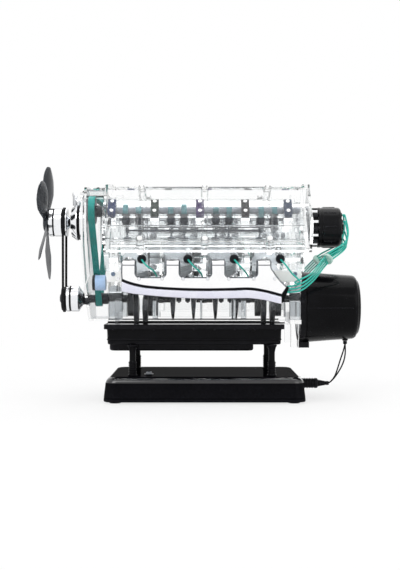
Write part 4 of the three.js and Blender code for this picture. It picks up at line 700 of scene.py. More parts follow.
def oilPan():
    p = panPlan
    middle, halfX = (p["front"] + p["rear"]) / 2, (p["rear"] - p["front"]) / 2
    floor, floorHalf, bodyHalf = p["floor"], p["floorHalf"], p["bodyHalf"]
    shape = Moulding()

    def ring(halfLength, halfWidth, corner, z, centre=middle):
        return [at(centre + x, y, z) for x, y in roundedOutline(halfLength, halfWidth, corner, 6)]

    levels = [(4, floorHalf - 0.6, floor), (3.4, floorHalf, floor + 0.8), (3.2, floorHalf + 0.2, floor + 4),
              (2.6, bodyHalf - 0.2, floor + 4.4), (2.6, bodyHalf - 0.2, floor + 5.2),
              (3.1, floorHalf + 0.4, floor + 5.6), (2.9, floorHalf + 0.6, p["flange"] - 2),
              (2.5, bodyHalf, p["flange"])]
    rings = [ring(halfX - inset, width, 4, z) for inset, width, z in levels]
    rings += [ring(halfX, p["half"], 3, z) for z in (p["flange"], p["top"])]
    rings += [ring(halfX - p["cavityInset"], p["cavityHalf"], 1, z) for z in (p["top"], p["cavityFloor"])]
    shape.loft(rings)  # up the outside, over the flange and down into the cavity
    start = p["front"] + 4
    sumpHalf, sumpMiddle = (p["sumpRear"] - start) / 2, (p["sumpRear"] + start) / 2
    sumpFloor = p["sumpFloor"]
    shape.loft([ring(sumpHalf - inset, p["sumpHalf"] - inset, 5, z, sumpMiddle) for inset, z in
                ((1.6, sumpFloor), (0.6, sumpFloor + 0.5), (0, sumpFloor + 1.6), (0, floor + 1))])
    for side in (-1, 1):
        for i in range(p["bolts"]):
            x = p["front"] + p["boltInset"] + i * 2 * (halfX - p["boltInset"]) / (p["bolts"] - 1)
            hexHead(shape, at(x, side * p["boltRow"], p["flange"]), (0, 0, -1), 1, 0.8)
    shape.turn([(0, 0), (0, 4), (1.4, 4), (1.6, 3.6), (1.6, 0)], at(sumpMiddle, 0, sumpFloor + 0.2),
               (0, 0, -1), steps=6)
    shape.finished("oilPan", stand, ["mouldedBlack"], ["oil_pan"], bevel=0.3)


oilPan()

# clear walls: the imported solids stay, with rounded edges and their own finish

clearNodes = {
    "engine_block": "clearWalls", "main_bearing_ladder": "clearWalls", "timing_cover": "clearWalls",
    "near_cylinder_head": "clearHeads", "far_cylinder_head": "clearHeads", "near_valve_cover": "clearCovers",
    "far_valve_cover": "clearCovers", "intake_manifold": "clearWalls", "distributor_mount": "clearWalls",
}
keptNodes = {
    "outer_web_dowel": "castSteel", "inner_web_dowel": "castSteel", "gear_motor": "castSteel",
    "distributor_rotor": "plateWhite",
}
for node, tone in {**clearNodes, **keptNodes}.items():
    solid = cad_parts[node]
    solid.data.materials.clear()
    solid.data.materials.append(finish[tone])
    solid.data.polygons.foreach_set("use_smooth", [True] * len(solid.data.polygons))
    solid.data.set_sharp_from_angle(angle=math.radians(32))
    addBevel(solid, 0.5 if node in clearNodes else 0.15, 2, 50)
print("clear walls dressed")

# screws and ribs that stand on the clear walls

coverPlan = {
    "outer": -32, "inner": 30, "top": 126, "bottom": 97, "front": -93, "rear": 98, "sunk": 0.2,
    "bandPlaces": (-59, 0, 59), "bandHalf": 2.6, "bandWidth": 1.1, "bandRise": 0.9,
    "trims": ((110.6, 0, 1.5), (122.2, 6.2, 0), (104.5, 0, 0.9)), "lowTrim": (99.8, 2.3), "trimRise": 0.8,
    "trimHalf": 0.8, "endInset": 7.2, "endTrim": 9, "endHalf": 0.7, "endRise": 0.9, "endSpan": (99.8, 121),
    "screwAlong": 114, "screwsAcross": (-34, 32), "screwRadius": 2.6, "screwHeight": 1.8,
}
blockPlan = {
    "wall": 36, "lean": 69.8, "low": 78.4, "bracketFace": 66.5, "thick": 1.6, "corner": 2.4,
    "brackets": ((-92, -77, 115, 126), (62, 91, 115, 127)), "screws": (-86, 85), "screwHeight": 122.5,
    "posts": ((-86, 6.8, 6.2), (-47.7, 2.6, 2.2), (-3.3, 1, 1.6), (28, 2, 2), (37.8, 2.6, 2.2),
              (87.4, 5.4, 6.2)),
    "gasket": ((-93, 77), (74.9, 76.2), (42.8, 43.5)),
}


def coverSection(rise):
    c = coverPlan
    outer, inner, top, foot = c["outer"] - rise, c["inner"] + rise, c["top"] + rise, c["bottom"] + 3
    return [(outer, foot), (outer, top - 13), (outer + 6.5, top - 3.4), (outer + 13, top), (inner - 6, top),
            (inner, top - 6), (inner, foot)]


# bands round the cover, and trims along its side
def coverDetails(sideName, hand):
    c = coverPlan
    shape = Moulding()

    def walled(x, u, v):
        return bankAt(hand, x + hand * bankShift, v, u)

    band = coverSection(c["bandRise"]) + coverSection(-c["sunk"])[::-1]
    for x in c["bandPlaces"]:
        for start in (x - c["bandHalf"], x + c["bandHalf"] - c["bandWidth"]):
            shape.loft([[walled(place, u, v) for v, u in band] for place in (start, start + c["bandWidth"])])
    half, outer, sunk = c["trimHalf"], c["outer"], c["sunk"]
    ends = (c["front"] + c["endInset"], c["rear"] - c["endInset"])
    for u, setBack, rise in c["trims"]:
        face = outer + setBack
        shape.box(walled, ends, (u - half, u + half), (face + sunk, face - c["trimRise"] - rise))
    u, rise = c["lowTrim"]
    shape.box(walled, (c["front"], c["rear"]), (u - half, u + half),
              (outer + sunk, outer - c["trimRise"] - rise))
    for x in (c["front"] + c["endTrim"], c["rear"] - c["endTrim"]):
        shape.box(walled, (x - c["endHalf"], x + c["endHalf"]), c["endSpan"],
                  (outer + sunk, outer - c["endRise"]))
    shape.finished(sideName + "CoverTrim", stand, ["clearCovers"], bevel=0.3)


# capped screws that stand on lugs along the covers' edges
def coverScrews():
    c = coverPlan
    shape = Moulding()
    for hand in hands.values():
        for x in c["bandPlaces"]:
            for across in c["screwsAcross"]:
                headedScrew(shape, bankAt(hand, x + hand * bankShift, across, c["screwAlong"]), bankUp(hand),
                            c["screwRadius"], c["screwHeight"])
    shape.finished("coverScrews", stand, ["plateWhite"])


# brackets, half-round posts and a gasket on the outer walls of the block, which lean out at 45 degrees
def blockDetails(sideName, hand):
    b = blockPlan
    brackets, posts = Moulding(), Moulding()

    def side(x, z, out):
        return at(x, -hand * out, z)

    face, wall, thick = b["bracketFace"], b["wall"], b["thick"]
    for x0, x1, z0, z1 in b["brackets"]:
        outline = roundedOutline((x1 - x0) / 2, (z1 - z0) / 2, b["corner"], 5)
        brackets.extrude([((x0 + x1) / 2 + x, (z0 + z1) / 2 + z) for x, z in outline], side, face - thick,
                         face)
        for start in (x0 + 1, x1 - 1 - thick):
            web = [(face - 1, z0 + 1), (face - 1, z1 - 1), (z1 - b["lean"], z1 - 1), (z0 - b["lean"], z0 + 1)]
            brackets.loft([[side(x, z, out) for out, z in web] for x in (start, start + thick)])
    brackets.tone = 1
    for x in b["screws"]:
        headedScrew(brackets, side(x, b["screwHeight"], face - 0.1), (0, -hand, 0), 2.1, 1.2)
    brackets.finished(sideName + "BlockBrackets", stand, ["plateWhite", "screwBlueGrey"], bevel=0.3)
    for x, half, depth in b["posts"]:
        ring = [(x + half * px, wall - 0.2 + depth * out) for px, out in arc((0, 0), 1, 0, 180, 12)]
        posts.loft([[side(px, b["low"], out) for px, out in ring],
                    [side(px, out + b["lean"], out) for px, out in ring]])
    posts.tone = 1
    posts.box(side, *b["gasket"])
    posts.finished(sideName + "BlockPosts", stand, ["smokedRibs", "seamAndReflectionBlack"], smooth=50)


coverScrews()
for sideName, hand in hands.items():
    coverDetails(sideName, hand)
    blockDetails(sideName, hand)
print("details placed")

# the crank train

crankPlan = {"throw": 10, "journal": 4, "pin": 4, "pinHalf": 7.5, "web": 5.5, "webHalf": 7.5, "weight": 20,
             "front": -140, "rear": 100.3, "coupling": 6, "couplingStart": 93.9, "taper": 1.7}
# holes for the dowels: the two ends along the crank, and the height
dowelHoles = {"outer": (-76.3, -70.8, -5), "inner": (-34.1, -28.6, 5)}
gearPlan = {"teeth": 8, "tip": 6, "depth": 0.8, "start": -108.2, "end": -101.6}
gearCollars = [[(-101.8, 4.2), (-101.8, 5.5), (-96, 5.5), (-95.6, 5.1), (-95.6, 4.2)],
               [(-108.9, 4.2), (-108.9, 7), (-108.3, 7.2), (-108.2, 5), (-108.2, 4.2)]]


# half of a web's thickness; the counterweight thins out towards its rim
def webHalf(z):
    c = crankPlan
    return c["web"] / 2 - c["taper"] * min(1, max(0, -z - 2) / (c["weight"] - 2))


def crankTrain():
    c = crankPlan
    shape = Moulding()
    axis = engineAt(0, 0, 0)
    webEnd, journal, pin, nut = c["pinHalf"] + c["web"], c["journal"], c["pin"], c["coupling"]
    stops = [c["front"]] + [x for t in throws for x in (t - webEnd, t + webEnd)] + [c["rear"]]
    for start, end in zip(stops[::2], stops[1::2]):
        shape.turn([(start, 0), (start, journal - 0.4), (start + 0.4, journal), (end - 0.4, journal),
                    (end, journal), (end, 0)], axis, steps=40)
    start, end = c["couplingStart"], c["rear"]
    shape.turn([(start, 0), (start, nut - 0.5), (start + 0.5, nut), (end - 0.5, nut), (end, nut - 0.5),
                (end, 0)], axis, steps=6)
    for t in throws:
        side = -1 if abs(t) > 40 else 1
        half = c["pinHalf"] + 0.5
        shape.turn([(t - half, 0), (t - half, pin), (t + half, pin), (t + half, 0)],
                   engineAt(0, 0, side * c["throw"]), steps=40)
        outline = arc((0, c["throw"]), c["webHalf"], 0, 180, 20)
        outline += [(-8.2, 3), (-11, -8)] + arc((0, 0), c["weight"], 225, 315, 20) + [(11, -8), (8.2, 3)]
        for end in (-1, 1):
            middle = t + end * (c["pinHalf"] + webEnd) / 2
            shape.loft([[engineAt(middle + face * webHalf(z), y * side, z * side) for y, z in outline]
                        for face in (-1, 1)])
    piece = shape.finished("crankTrain", "crankshaft", ["crankGrey"], ["crankshaft"], bevel=0.5)
    cutters = []
    for x0, x1, z in dowelHoles.values():
        hole = Moulding()
        hole.turn([(x0 - 1, 0), (x0 - 1, 1), (x1 + 1, 1), (x1 + 1, 0)], engineAt(0, 0, z), steps=24)
        cutters.append(hole)
    carve(piece, *cutters)


# teeth between tip and root, as the outline of a belt wheel
def wheelTeeth(teeth, tip, depth):
    root, edge = tip - depth, tip - 0.15
    toothForm = ((0.02, root), (0.28, root), (0.4, edge), (0.46, tip), (0.62, tip), (0.84, tip), (0.9, edge))
    spots = [(2 * math.pi * (tooth + share) / teeth, radius)
             for tooth in range(teeth) for share, radius in toothForm]
    return [(radius * math.cos(turn), radius * math.sin(turn)) for turn, radius in spots]


def crankToothedWheel():
    g = gearPlan
    shape = Moulding()
    shape.extrude(wheelTeeth(g["teeth"], g["tip"], g["depth"]), lambda y, z, x: engineAt(x, y, z),
                  g["start"], g["end"])
    for profile in gearCollars:
        shape.turn(profile, engineAt(0, 0, 0), steps=40)
    shape.finished("crankToothedWheel", "crankshaft", ["crankGrey"], ["crank_sprocket"], bevel=0.15)


rodPlan = {"length": 51, "thick": 5, "big": 11, "reach": 9.6, "shank": 2.4, "small": 2.8, "pin": 1.3,
           "pinHalf": 6.4, "eye": 4.4, "boltOut": 8.6,
           "dent": ((-1.4, 15), (1.4, 15), (1.1, 45.5), (-1.1, 45.5)), "dentFrom": 1.6}
rodFlank = [(9.4, 7), (6, 10), (3.8, 14), (2.6, 20)]
pistonPlan = {"crown": 7, "radius": 15.1, "skirt": -13, "skirtRadius": 14.95, "inside": 13.5,
              "underCrown": 3.6, "rings": (5.2, 3.4, 1.6), "ringDepth": 0.8, "boss": 3.4,
              "bossBore": 1.5, "bossFrom": 6.6, "bossTo": 13.6}


# the rod's form round its big end, at the origin; it is placed for each cylinder
def rodMesh():
    r = rodPlan
    shape = Moulding()
    big, reach, length, half = r["big"], r["reach"], r["length"], r["pinHalf"]

    def keep(x, z, y):
        return Vector((y * mm, x * mm, z * mm))

    outline = [(-big, -reach + 2), (-big + 2, -reach), (big - 2, -reach), (big, -reach + 2), (big, 4),
               *rodFlank]
    outline += [(r["shank"], length - 6)] + arc((0, length), r["small"], -20, 200, 16)
    outline += [(-r["shank"], length - 6), *((-x, z) for x, z in rodFlank[::-1]), (-big, 4)]
    shape.extrude(outline, keep, -r["thick"] / 2, r["thick"] / 2)
    for y in (-r["boltOut"], r["boltOut"]):
        hexHead(shape, Vector((0, y * mm, -reach * mm)), (0, 0, -1), 1.5, 1)
    shape.turn([(-half, 0), (-half, r["pin"]), (half, r["pin"]), (half, 0)], Vector((0, 0, length * mm)),
               steps=24)
    probe = newObject("rodShape", shape.asMesh("rodShape"))
    eye = Moulding()
    eye.turn([(-4, 0), (-4, r["eye"]), (4, r["eye"]), (4, 0)], Vector((0, 0, 0)), steps=32)
    cutters = [eye]
    for side in (-1, 1):  # a dent in each face of the shank
        cutters.append(Moulding())
        cutters[-1].loft([[keep(x, z, side * y) for x, z in r["dent"]]
                          for y in (r["dentFrom"], 2 * r["dentFrom"])])
    carve(probe, *cutters)
    shaped = probe.data
    bpy.data.objects.remove(probe)
    return shaped


def pistonMesh():
    p = pistonPlan
    crown, radius, skirt, skirtRadius = p["crown"], p["radius"], p["skirt"], p["skirtRadius"]
    profile = [(crown, 0), (crown, 13.6), (crown - 0.3, 14.6), (crown - 0.7, radius)]
    for z in p["rings"]:
        depth = radius - p["ringDepth"]
        profile += [(z, radius), (z - 0.05, depth), (z - 0.85, depth), (z - 0.9, radius)]
    profile += [(-2, radius), (-2.4, skirtRadius), (skirt + 0.4, skirtRadius), (skirt, 14.7),
                (skirt, p["inside"]), (p["underCrown"] - 1, p["inside"]), (p["underCrown"], 12.8),
                (p["underCrown"], 0)]
    shape = Moulding()
    shape.turn(profile, Vector((0, 0, 0)), (0, 0, 1), steps=72)
    bore, start, end = p["bossBore"], p["bossFrom"], p["bossTo"]
    for side in (-1, 1):  # pin bosses inside the skirt
        shape.turn([(side * x, radius) for x, radius in
                    ((start, bore), (start, p["boss"]), (end, p["boss"] + 0.8), (end, bore), (start, bore))],
                   Vector((0, 0, 0)), steps=32)
    return shape.asMesh("pistonShape")


def placeCopy(data, name, body, matrix, tone, node, bevel=0):
    copy = data.copy()
    copy.name = name
    copy.transform(matrix)
    return dress(copy, name, body, [tone], [node], bevel)


crankTrain()
crankToothedWheel()
rodShape = rodMesh()
pistonShape = pistonMesh()
for sideName, hand in hands.items():
    tilt = Matrix.Rotation(hand * math.radians(45), 4, "X")
    for number, t in enumerate(throws, 1):
        group = "outer" if number in (1, 4) else "inner"
        throwZ = crankPlan["throw"] * (-1 if group == "outer" else 1)
        rodPlace = Matrix.Translation(engineAt(t - hand * bankShift, 0, throwZ)) @ tilt
        placeCopy(rodShape, f"{sideName}Rod{number}", f"{group}_rods", rodPlace, "fanGrey",
                  f"{sideName}_rod_{number}", 0.2)
        pistonPlace = Matrix.Translation(bankAt(hand, t, 0, rodPlan["length"] + throwZ * lean)) @ tilt
        placeCopy(pistonShape, f"{sideName}Piston{number}", f"{sideName}_{group}_pistons", pistonPlace,
                  "pistonGrey", f"{sideName}_piston_{number}")
bpy.data.meshes.remove(rodShape)
bpy.data.meshes.remove(pistonShape)
print("crank train built")

# cams, caps and valves

camPlan = {
    "across": 8.8, "along": 109, "shaft": 3, "journal": 4, "lobe": 4, "lift": 2, "tip": 2, "width": 5,
    "front": -108.5, "rear": 89, "lobeOut": 6.2, "phase": 55, "wheel": -104.9, "wheelHalf": 3.3, "teeth": 16,
    "wheelTip": 12, "toothDepth": 0.8,
}
camHub = [(3.2, 0), (3.2, 5.5), (8.6, 5.5), (9, 5.1), (9, 0)]
camFlange = [(-3.2, 3), (-3.2, 9.4), (-3.6, 9), (-3.8, 4.4), (-3.8, 3)]
firing = [0, 270, 90, 180]
capPlan = {"places": [-82, -42.2, 0, 42.2, 82], "half": 10, "top": 116, "bottom": 109.15, "width": 3.7,
           "bore": 4.45, "screws": (-7.4, 5.4), "rail": (7.6, 10), "railHeight": 2.4,
           "tones": ["capNavy", "capGreen", "capPurple", "capCoal", "capSlate"]}
valvePlan = {"stem": 0.9, "springFrom": 80, "springTo": 92, "springTurns": 5, "springSteps": 14,
             "springRadius": 2, "springWire": 0.35, "railOut": 2.6, "rail": (85.25, 86.75), "railHalf": 0.75}
valveHead = [(70.8, 0), (70.8, 3.9), (71.1, 4.1), (71.6, 4.1), (72.4, 2.6), (73.6, 1.3), (75, 0.9),
             (92.5, 0.9), (92.5, 0)]
tappet = [(92.4, 0), (92.4, 3.8), (92.8, 4.2), (95.4, 4.2), (95.5, 3.9), (96, 3.9), (96.1, 4.2), (102.1, 4.2),
          (102.6, 3.8), (102.6, 0)]


def camshaftPiece(sideName, hand):
    c = camPlan
    shape = Moulding()
    shift = hand * bankShift
    start, end, shaft, journal = c["front"] + shift, c["rear"] + shift, c["shaft"], c["journal"]
    origin = bankAt(hand, 0, c["across"], c["along"])
    profile = [(start, 0), (start, 3.6), (start + 1.2, 3.8), (start + 1.6, shaft)]
    for x in capPlan["places"]:
        profile += [(x - 4.3, shaft), (x - 4.2, journal), (x + 4.2, journal), (x + 4.3, shaft)]
    profile += [(end - 0.4, shaft), (end, shaft - 0.4), (end, 0)]
    shape.turn(profile, origin, steps=40)

    def spun(y, z, x):
        return bankAt(hand, x, c["across"] + hand * y, c["along"] + z)

    shape.tone = 2
    reach = c["lobe"] + c["lift"] - c["tip"]
    for index, t in enumerate(throws):
        for side in (-1, 1):
            turn = 90 + firing[index] + side * c["phase"]
            tipCentre = (reach * math.cos(math.radians(turn)), reach * math.sin(math.radians(turn)))
            outline = arc((0, 0), c["lobe"], turn + 70, turn + 290, 20)
            outline += arc(tipCentre, c["tip"], turn - 65, turn + 65, 10)
            x = t + side * c["lobeOut"]
            shape.extrude(outline, spun, x - c["width"] / 2, x + c["width"] / 2)
    shape.tone = 1
    centre = c["wheel"] + shift
    shape.extrude(wheelTeeth(c["teeth"], c["wheelTip"], c["toothDepth"]), spun, centre - c["wheelHalf"],
                  centre + c["wheelHalf"])
    for profile in (camHub, camFlange):
        shape.turn([(centre + along, radius) for along, radius in profile], origin, steps=40)
    shape.finished(sideName + "CamshaftSteel", sideName + "_camshaft", ["camSilver", "fanGrey", "camTeal"],
                   [sideName + "_camshaft"], bevel=0.15)


def camCaps(sideName, hand):
    p = capPlan
    half, top, bottom = p["half"], p["top"], p["bottom"]
    edge = [(half, bottom), (half, top - 3), (half - 0.8, top - 1.2), (half - 2.2, top), (3.4, top),
            (2.4, top + 0.001)]
    outline = edge + [(-v, u) for v, u in edge[::-1]]
    outline += [(v, max(u, bottom)) for v, u in arc((0, camPlan["along"]), p["bore"], 180, 0, 16)]
    shape = Moulding()

    def seated(v, u, x):
        return bankAt(hand, x, camPlan["across"] + v, u)

    for index, x in enumerate(p["places"]):
        shape.tone = index
        shape.extrude(outline, seated, x - p["width"], x + p["width"])
        shape.tone = len(p["tones"])
        for across in p["screws"]:
            headedScrew(shape, seated(across, top - 0.4, x), bankUp(hand), 1.8, 1.1)
    shape.tone += 1
    low, high = bottom, bottom + p["railHeight"]
    for side in (-1, 1):
        a, b = sorted(side * v for v in p["rail"])
        shape.loft([[seated(v, u, x) for v, u in ((a, low), (b, low), (b, high), (a, high))]
                    for x in (p["places"][0], p["places"][-1])])
    shape.finished(sideName + "CamCaps", stand, p["tones"] + ["plateWhite", "clearHeads"],
                   [sideName + "_cam_cap_frame"], bevel=0.25)


def valveSet(sideName, hand, side, rowName):
    p = valvePlan
    shape = Moulding()
    up = bankUp(hand)
    axis = (bankAt(hand, 1, 0, 0) - bankAt(hand, 0, 0, 0)).normalized()
    cross = up.cross(axis)
    across = camPlan["across"]
    xs = [t + side * camPlan["lobeOut"] for t in throws]
    for x in xs:
        shape.tone = 1
        shape.turn(valveHead, bankAt(hand, x, across, 0), up, steps=32)
        shape.tone = 0
        shape.turn(tappet, bankAt(hand, x, across, 0), up, steps=32)
        spring = []  # wound return spring under the tappet
        count = p["springTurns"] * p["springSteps"]
        for i in range(count + 1):
            a = 2 * math.pi * i / p["springSteps"]
            centre = bankAt(hand, x, across, p["springFrom"] + (p["springTo"] - p["springFrom"]) * i / count)
            spring.append(centre + (axis * math.cos(a) + cross * math.sin(a)) * p["springRadius"] * mm)
        shape.tone = 1
        shape.wire(spring, p["springWire"], 6)
    middle, (low, high) = across + hand * side * p["railOut"], p["rail"]
    a, b = middle - p["railHalf"], middle + p["railHalf"]
    shape.tone = 0
    shape.loft([[bankAt(hand, x, v, u) for v, u in ((a, low), (b, low), (b, high), (a, high))]
                for x in (xs[0] - p["stem"], xs[-1] + p["stem"])])
    shape.finished(f"{sideName}{rowName.title()}ValveSet", f"{sideName}_{rowName}_valves",
                   ["tappetGrey", "camSilver"], [f"{sideName}_{rowName}_valves"])


for sideName, hand in hands.items():
    camshaftPiece(sideName, hand)
    camCaps(sideName, hand)
    valveSet(sideName, hand, -1, "front")
    valveSet(sideName, hand, 1, "rear")
print("cams and valves built")

# the belt drive

camSpot = ((camPlan["along"] - camPlan["across"]) * lean, (camPlan["along"] + camPlan["across"]) * lean)
drivePlan = {"gap": 0.3, "belt": 1.5, "rollerAlong": 34, "rollerRadius": 7.5, "press": 2.5}
beltSeat = drivePlan["gap"] + drivePlan["belt"] / 2  # from a wheel's teeth to the belt's centre line


# the roller presses on the near run of the belt from outside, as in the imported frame
def rollerCentre():
    d = drivePlan
    length = math.hypot(*camSpot)
    y, z = -camSpot[0] / length, camSpot[1] / length
    tip = gearPlan["tip"] + (camPlan["wheelTip"] - gearPlan["tip"]) * d["rollerAlong"] / length
    reach = tip + 2 * d["gap"] + d["belt"] + d["rollerRadius"] - d["press"]
    return y * d["rollerAlong"] - z * reach, z * d["rollerAlong"] + y * reach


rollerSpot = rollerCentre()
timingBelt = {
    "centre": camPlan["wheel"], "width": 6.2, "thick": 1.4, "tooth": 0.2, "pitch": 0.9,
    "wheels": [(0, 0, gearPlan["tip"] + beltSeat), (*camSpot, camPlan["wheelTip"] + beltSeat),
               (-camSpot[0], camSpot[1], camPlan["wheelTip"] + beltSeat),
               (*rollerSpot, -drivePlan["rollerRadius"] - beltSeat)],
}
fanBelt = {"centre": -139.8, "width": 2.2, "thick": 1.5, "tooth": 0.2, "pitch": 1.2,
           "wheels": [(0, 0, 12.85), (0, fanHeight, 14.25)]}
rollerProfile = [(-108.4, 2.1), (-108.4, 4.2), (-107.4, 4.4), (-107.4, 6.2), (-108.4, 6.4), (-108.4, 7.1),
                 (-108, 7.5), (-105.6, 7.5), (-96.1, 7.5), (-95.5, 6.9), (-95.5, 2.1), (-108.4, 2.1)]


# a belt's centre line round its wheels: (y, z, radius), a negative radius for a wheel outside it
def beltLine(wheels, degrees=6):
    headings = []
    for (y, z, r), (y2, z2, r2) in zip(wheels, wheels[1:] + wheels[:1]):
        distance = math.hypot(y2 - y, z2 - z)
        headings.append(math.atan2(z2 - z, y2 - y) - math.asin((r2 - r) / distance))
    line = []
    for i, (y, z, r) in enumerate(wheels):
        arriving = headings[i - 1]
        turn = headings[i] - arriving
        while r > 0 and turn < 0:
            turn += 2 * math.pi
        while r < 0 and turn > 0:
            turn -= 2 * math.pi
        steps = max(2, math.ceil(abs(math.degrees(turn)) / degrees))
        for step in range(steps + 1):
            a = arriving + turn * step / steps
            line.append((y + r * math.sin(a), z - r * math.cos(a)))
    return line


# points at an even spacing round a closed line, each with its outward normal
def evenly(line, spacing):
    lengths = [math.dist(a, b) for a, b in zip(line, line[1:] + line[:1])]
    total = sum(lengths)
    count = max(8, round(total / spacing))
    spots, walked, index = [], 0, 0
    for i in range(count):
        target = total * i / count
        while walked + lengths[index] < target:
            walked += lengths[index]
            index += 1
        share = (target - walked) / lengths[index] if lengths[index] else 0
        a, b = line[index], line[(index + 1) % len(line)]
        spots.append((a[0] + (b[0] - a[0]) * share, a[1] + (b[1] - a[1]) * share))
    out = []
    for i, spot in enumerate(spots):
        ahead, behind = spots[(i + 1) % count], spots[i - 1]
        length = math.dist(ahead, behind) or 1
        out.append((spot, ((ahead[1] - behind[1]) / length, -(ahead[0] - behind[0]) / length)))
    return out


def beltLoop(name, plan, tone, node):
    half, outer = plan["width"] / 2, plan["thick"] / 2
    rings = []
    for i, ((y, z), (ny, nz)) in enumerate(evenly(beltLine(plan["wheels"]), plan["pitch"])):
        inner = -outer - (plan["tooth"] if i % 3 == 0 else 0)
        section = [(-half, inner), (-half + 0.2, inner), (half - 0.2, inner), (half, inner),
                   (half, outer - 0.2), (half - 0.2, outer), (-half + 0.2, outer), (-half, outer - 0.2)]
        rings.append([engineAt(plan["centre"] + x, y + ny * out, z + nz * out) for x, out in section])
    shape = Moulding()
    shape.loft(rings, closed=True)
    shape.finished(name, stand, [tone], [node], smooth=30)


def idlerRoller():
    shape = Moulding()
    shape.turn(rollerProfile, engineAt(0, *rollerSpot), steps=56, tones=[1] * 7 + [0] * 4)
    shape.finished("idlerRoller", "tensioner_roller", ["rollerBlue", "crankGrey"], ["tensioner_roller"])


beltLoop("toothedTimingBelt", timingBelt, "beltTeal", "timing_belt")
beltLoop("fanBeltLoop", fanBelt, "beltRubber", "fan_belt")
idlerRoller()
print("belts built")

# the fan, its pulleys and the pump

fanPlan = {"blades": 5, "turn": 18, "radius": 59.5, "centre": -157.7, "hub": 9, "hubFront": 3, "hubBack": 2.4,
           "thick": 1.5, "camber": 0.6, "screwRing": 5.2}
bladeStations = [(0.11, 0.15, 14), (0.2, 0.19, 16), (0.3, 0.24, 18), (0.42, 0.31, 21), (0.55, 0.36, 24),
                 (0.68, 0.365, 22.5), (0.8, 0.35, 21), (0.88, 0.3, 19.5), (0.95, 0.22, 18), (0.985, 0.15, 18),
                 (1, 0.08, 18)]
bladeSection = [(-1, 0), (-0.85, -0.55), (-0.4, -0.95), (0, -1), (0.4, -0.95), (0.85, -0.55), (1, 0),
                (0.85, 0.55), (0.4, 0.95), (0, 1), (-0.4, 0.95), (-0.85, 0.55)]
fanPulley = [(-154.9, 0), (-154.9, 12.6), (-154.5, 13.4), (-153.9, 14), (-150.6, 14), (-150.2, 13.5),
             (-149.4, 13.5), (-149, 14), (-142, 14), (-141.7, 13.2), (-137.9, 13.2), (-137.9, 14.5),
             (-137.6, 14.8), (-136.9, 14.8), (-136.7, 14.5), (-136.7, 8), (-135.4, 6.2), (-133.6, 5),
             (-133.6, 3.2), (-132.4, 3), (-122, 3), (-122, 0)]
fanPulleyTones = [0] * 4 + [1] * 3 + [0] * 2 + [1] + [0] * 11
crankPulley = [(-142.5, 0), (-142.5, 9.8), (-142.2, 11.4), (-142.1, 11.8), (-137.2, 11.8), (-137.2, 12.6),
               (-136.8, 13), (-134.2, 13), (-133.9, 12.6), (-132.5, 12.6), (-132.2, 13), (-125.4, 13),
               (-125, 12.7), (-123.8, 10.6), (-121.4, 7.2), (-120.6, 6), (-117.8, 6), (-117.6, 6),
               (-115.6, 5.8), (-115.6, 4.4)]
crankPulleyTones = [0] * 3 + [1] + [0] * 3 + [1] * 3 + [0] * 5 + [1] * 4
pumpPlan = {"back": -119.2, "front": -131.9, "screwRing": 11.6, "nippleOut": 3.75}
pumpTones = [0] * 4 + [1] * 3 + [0] * 4 + [1] * 2
pumpNipple = [(17, 2.2), (26, 2.2), (26.2, 2.5), (28.4, 2.5), (29.2, 2.3), (30, 1.9), (30, 1.3), (27, 1.2),
              (27, 0)]


def fanBlades():
    f = fanPlan
    radius, rim = f["radius"], f["hub"]
    hub = engineAt(f["centre"], 0, fanHeight)
    shape = Moulding()
    for index in range(f["blades"]):
        turn = 2 * math.pi * index / f["blades"] + math.radians(f["turn"])
        outward = Vector((0, math.sin(turn), math.cos(turn)))
        sideways = Vector((0, math.cos(turn), -math.sin(turn)))
        rings = []
        for share, chordShare, pitchDegrees in bladeStations:
            pitch = math.radians(pitchDegrees)
            chord = sideways * math.cos(pitch) + Vector((1, 0, 0)) * math.sin(pitch)
            normal = chord.cross(outward).normalized()
            half = chordShare * radius / 2
            thick = f["thick"] / 2 * (1.15 - 0.45 * share)
            middle = hub + outward * share * radius * mm
            rings.append([middle + (chord * along * half
                                    + normal * (out * thick + (1 - along * along) * f["camber"])) * mm
                          for along, out in bladeSection])
        shape.loft(rings)
    front, back = f["centre"] - f["hubFront"], f["centre"] + f["hubBack"]
    shape.turn([(front, 0), (front, 3), (front + 0.2, 3.4), (front + 0.2, 7.2), (front + 0.8, rim - 0.4),
                (front + 1.6, rim), (back - 0.4, rim), (back, rim - 0.4), (back, 0)],
               engineAt(0, 0, fanHeight))
    for y, z in ringSpots(6, f["screwRing"], fanHeight):
        headedScrew(shape, engineAt(front + 0.3, y, z), (-1, 0, 0), 0.9, 0.4)
    shape.finished("fanBlades", "fan", ["fanGrey"], ["fan"], smooth=40)


def fanPulleyChrome():
    shape = Moulding()
    shape.turn(fanPulley, engineAt(0, 0, fanHeight), steps=72, tones=fanPulleyTones)
    shape.finished("fanPulleyChrome", "fan", ["brightChrome", "seamAndReflectionBlack"], ["fan_pulley"])


def crankPulleyChrome():
    shape = Moulding()
    shape.turn(crankPulley, engineAt(0, 0, 0), steps=72, tones=crankPulleyTones)
    shape.tone = 1
    hexHead(shape, engineAt(crankPulley[0][0] - 0.1, 0, 0), (-1, 0, 0), 4.2, 1.6)
    shape.finished("crankPulleyChrome", "crankshaft", ["brightChrome", "crankGrey"], ["crank_pulley"])


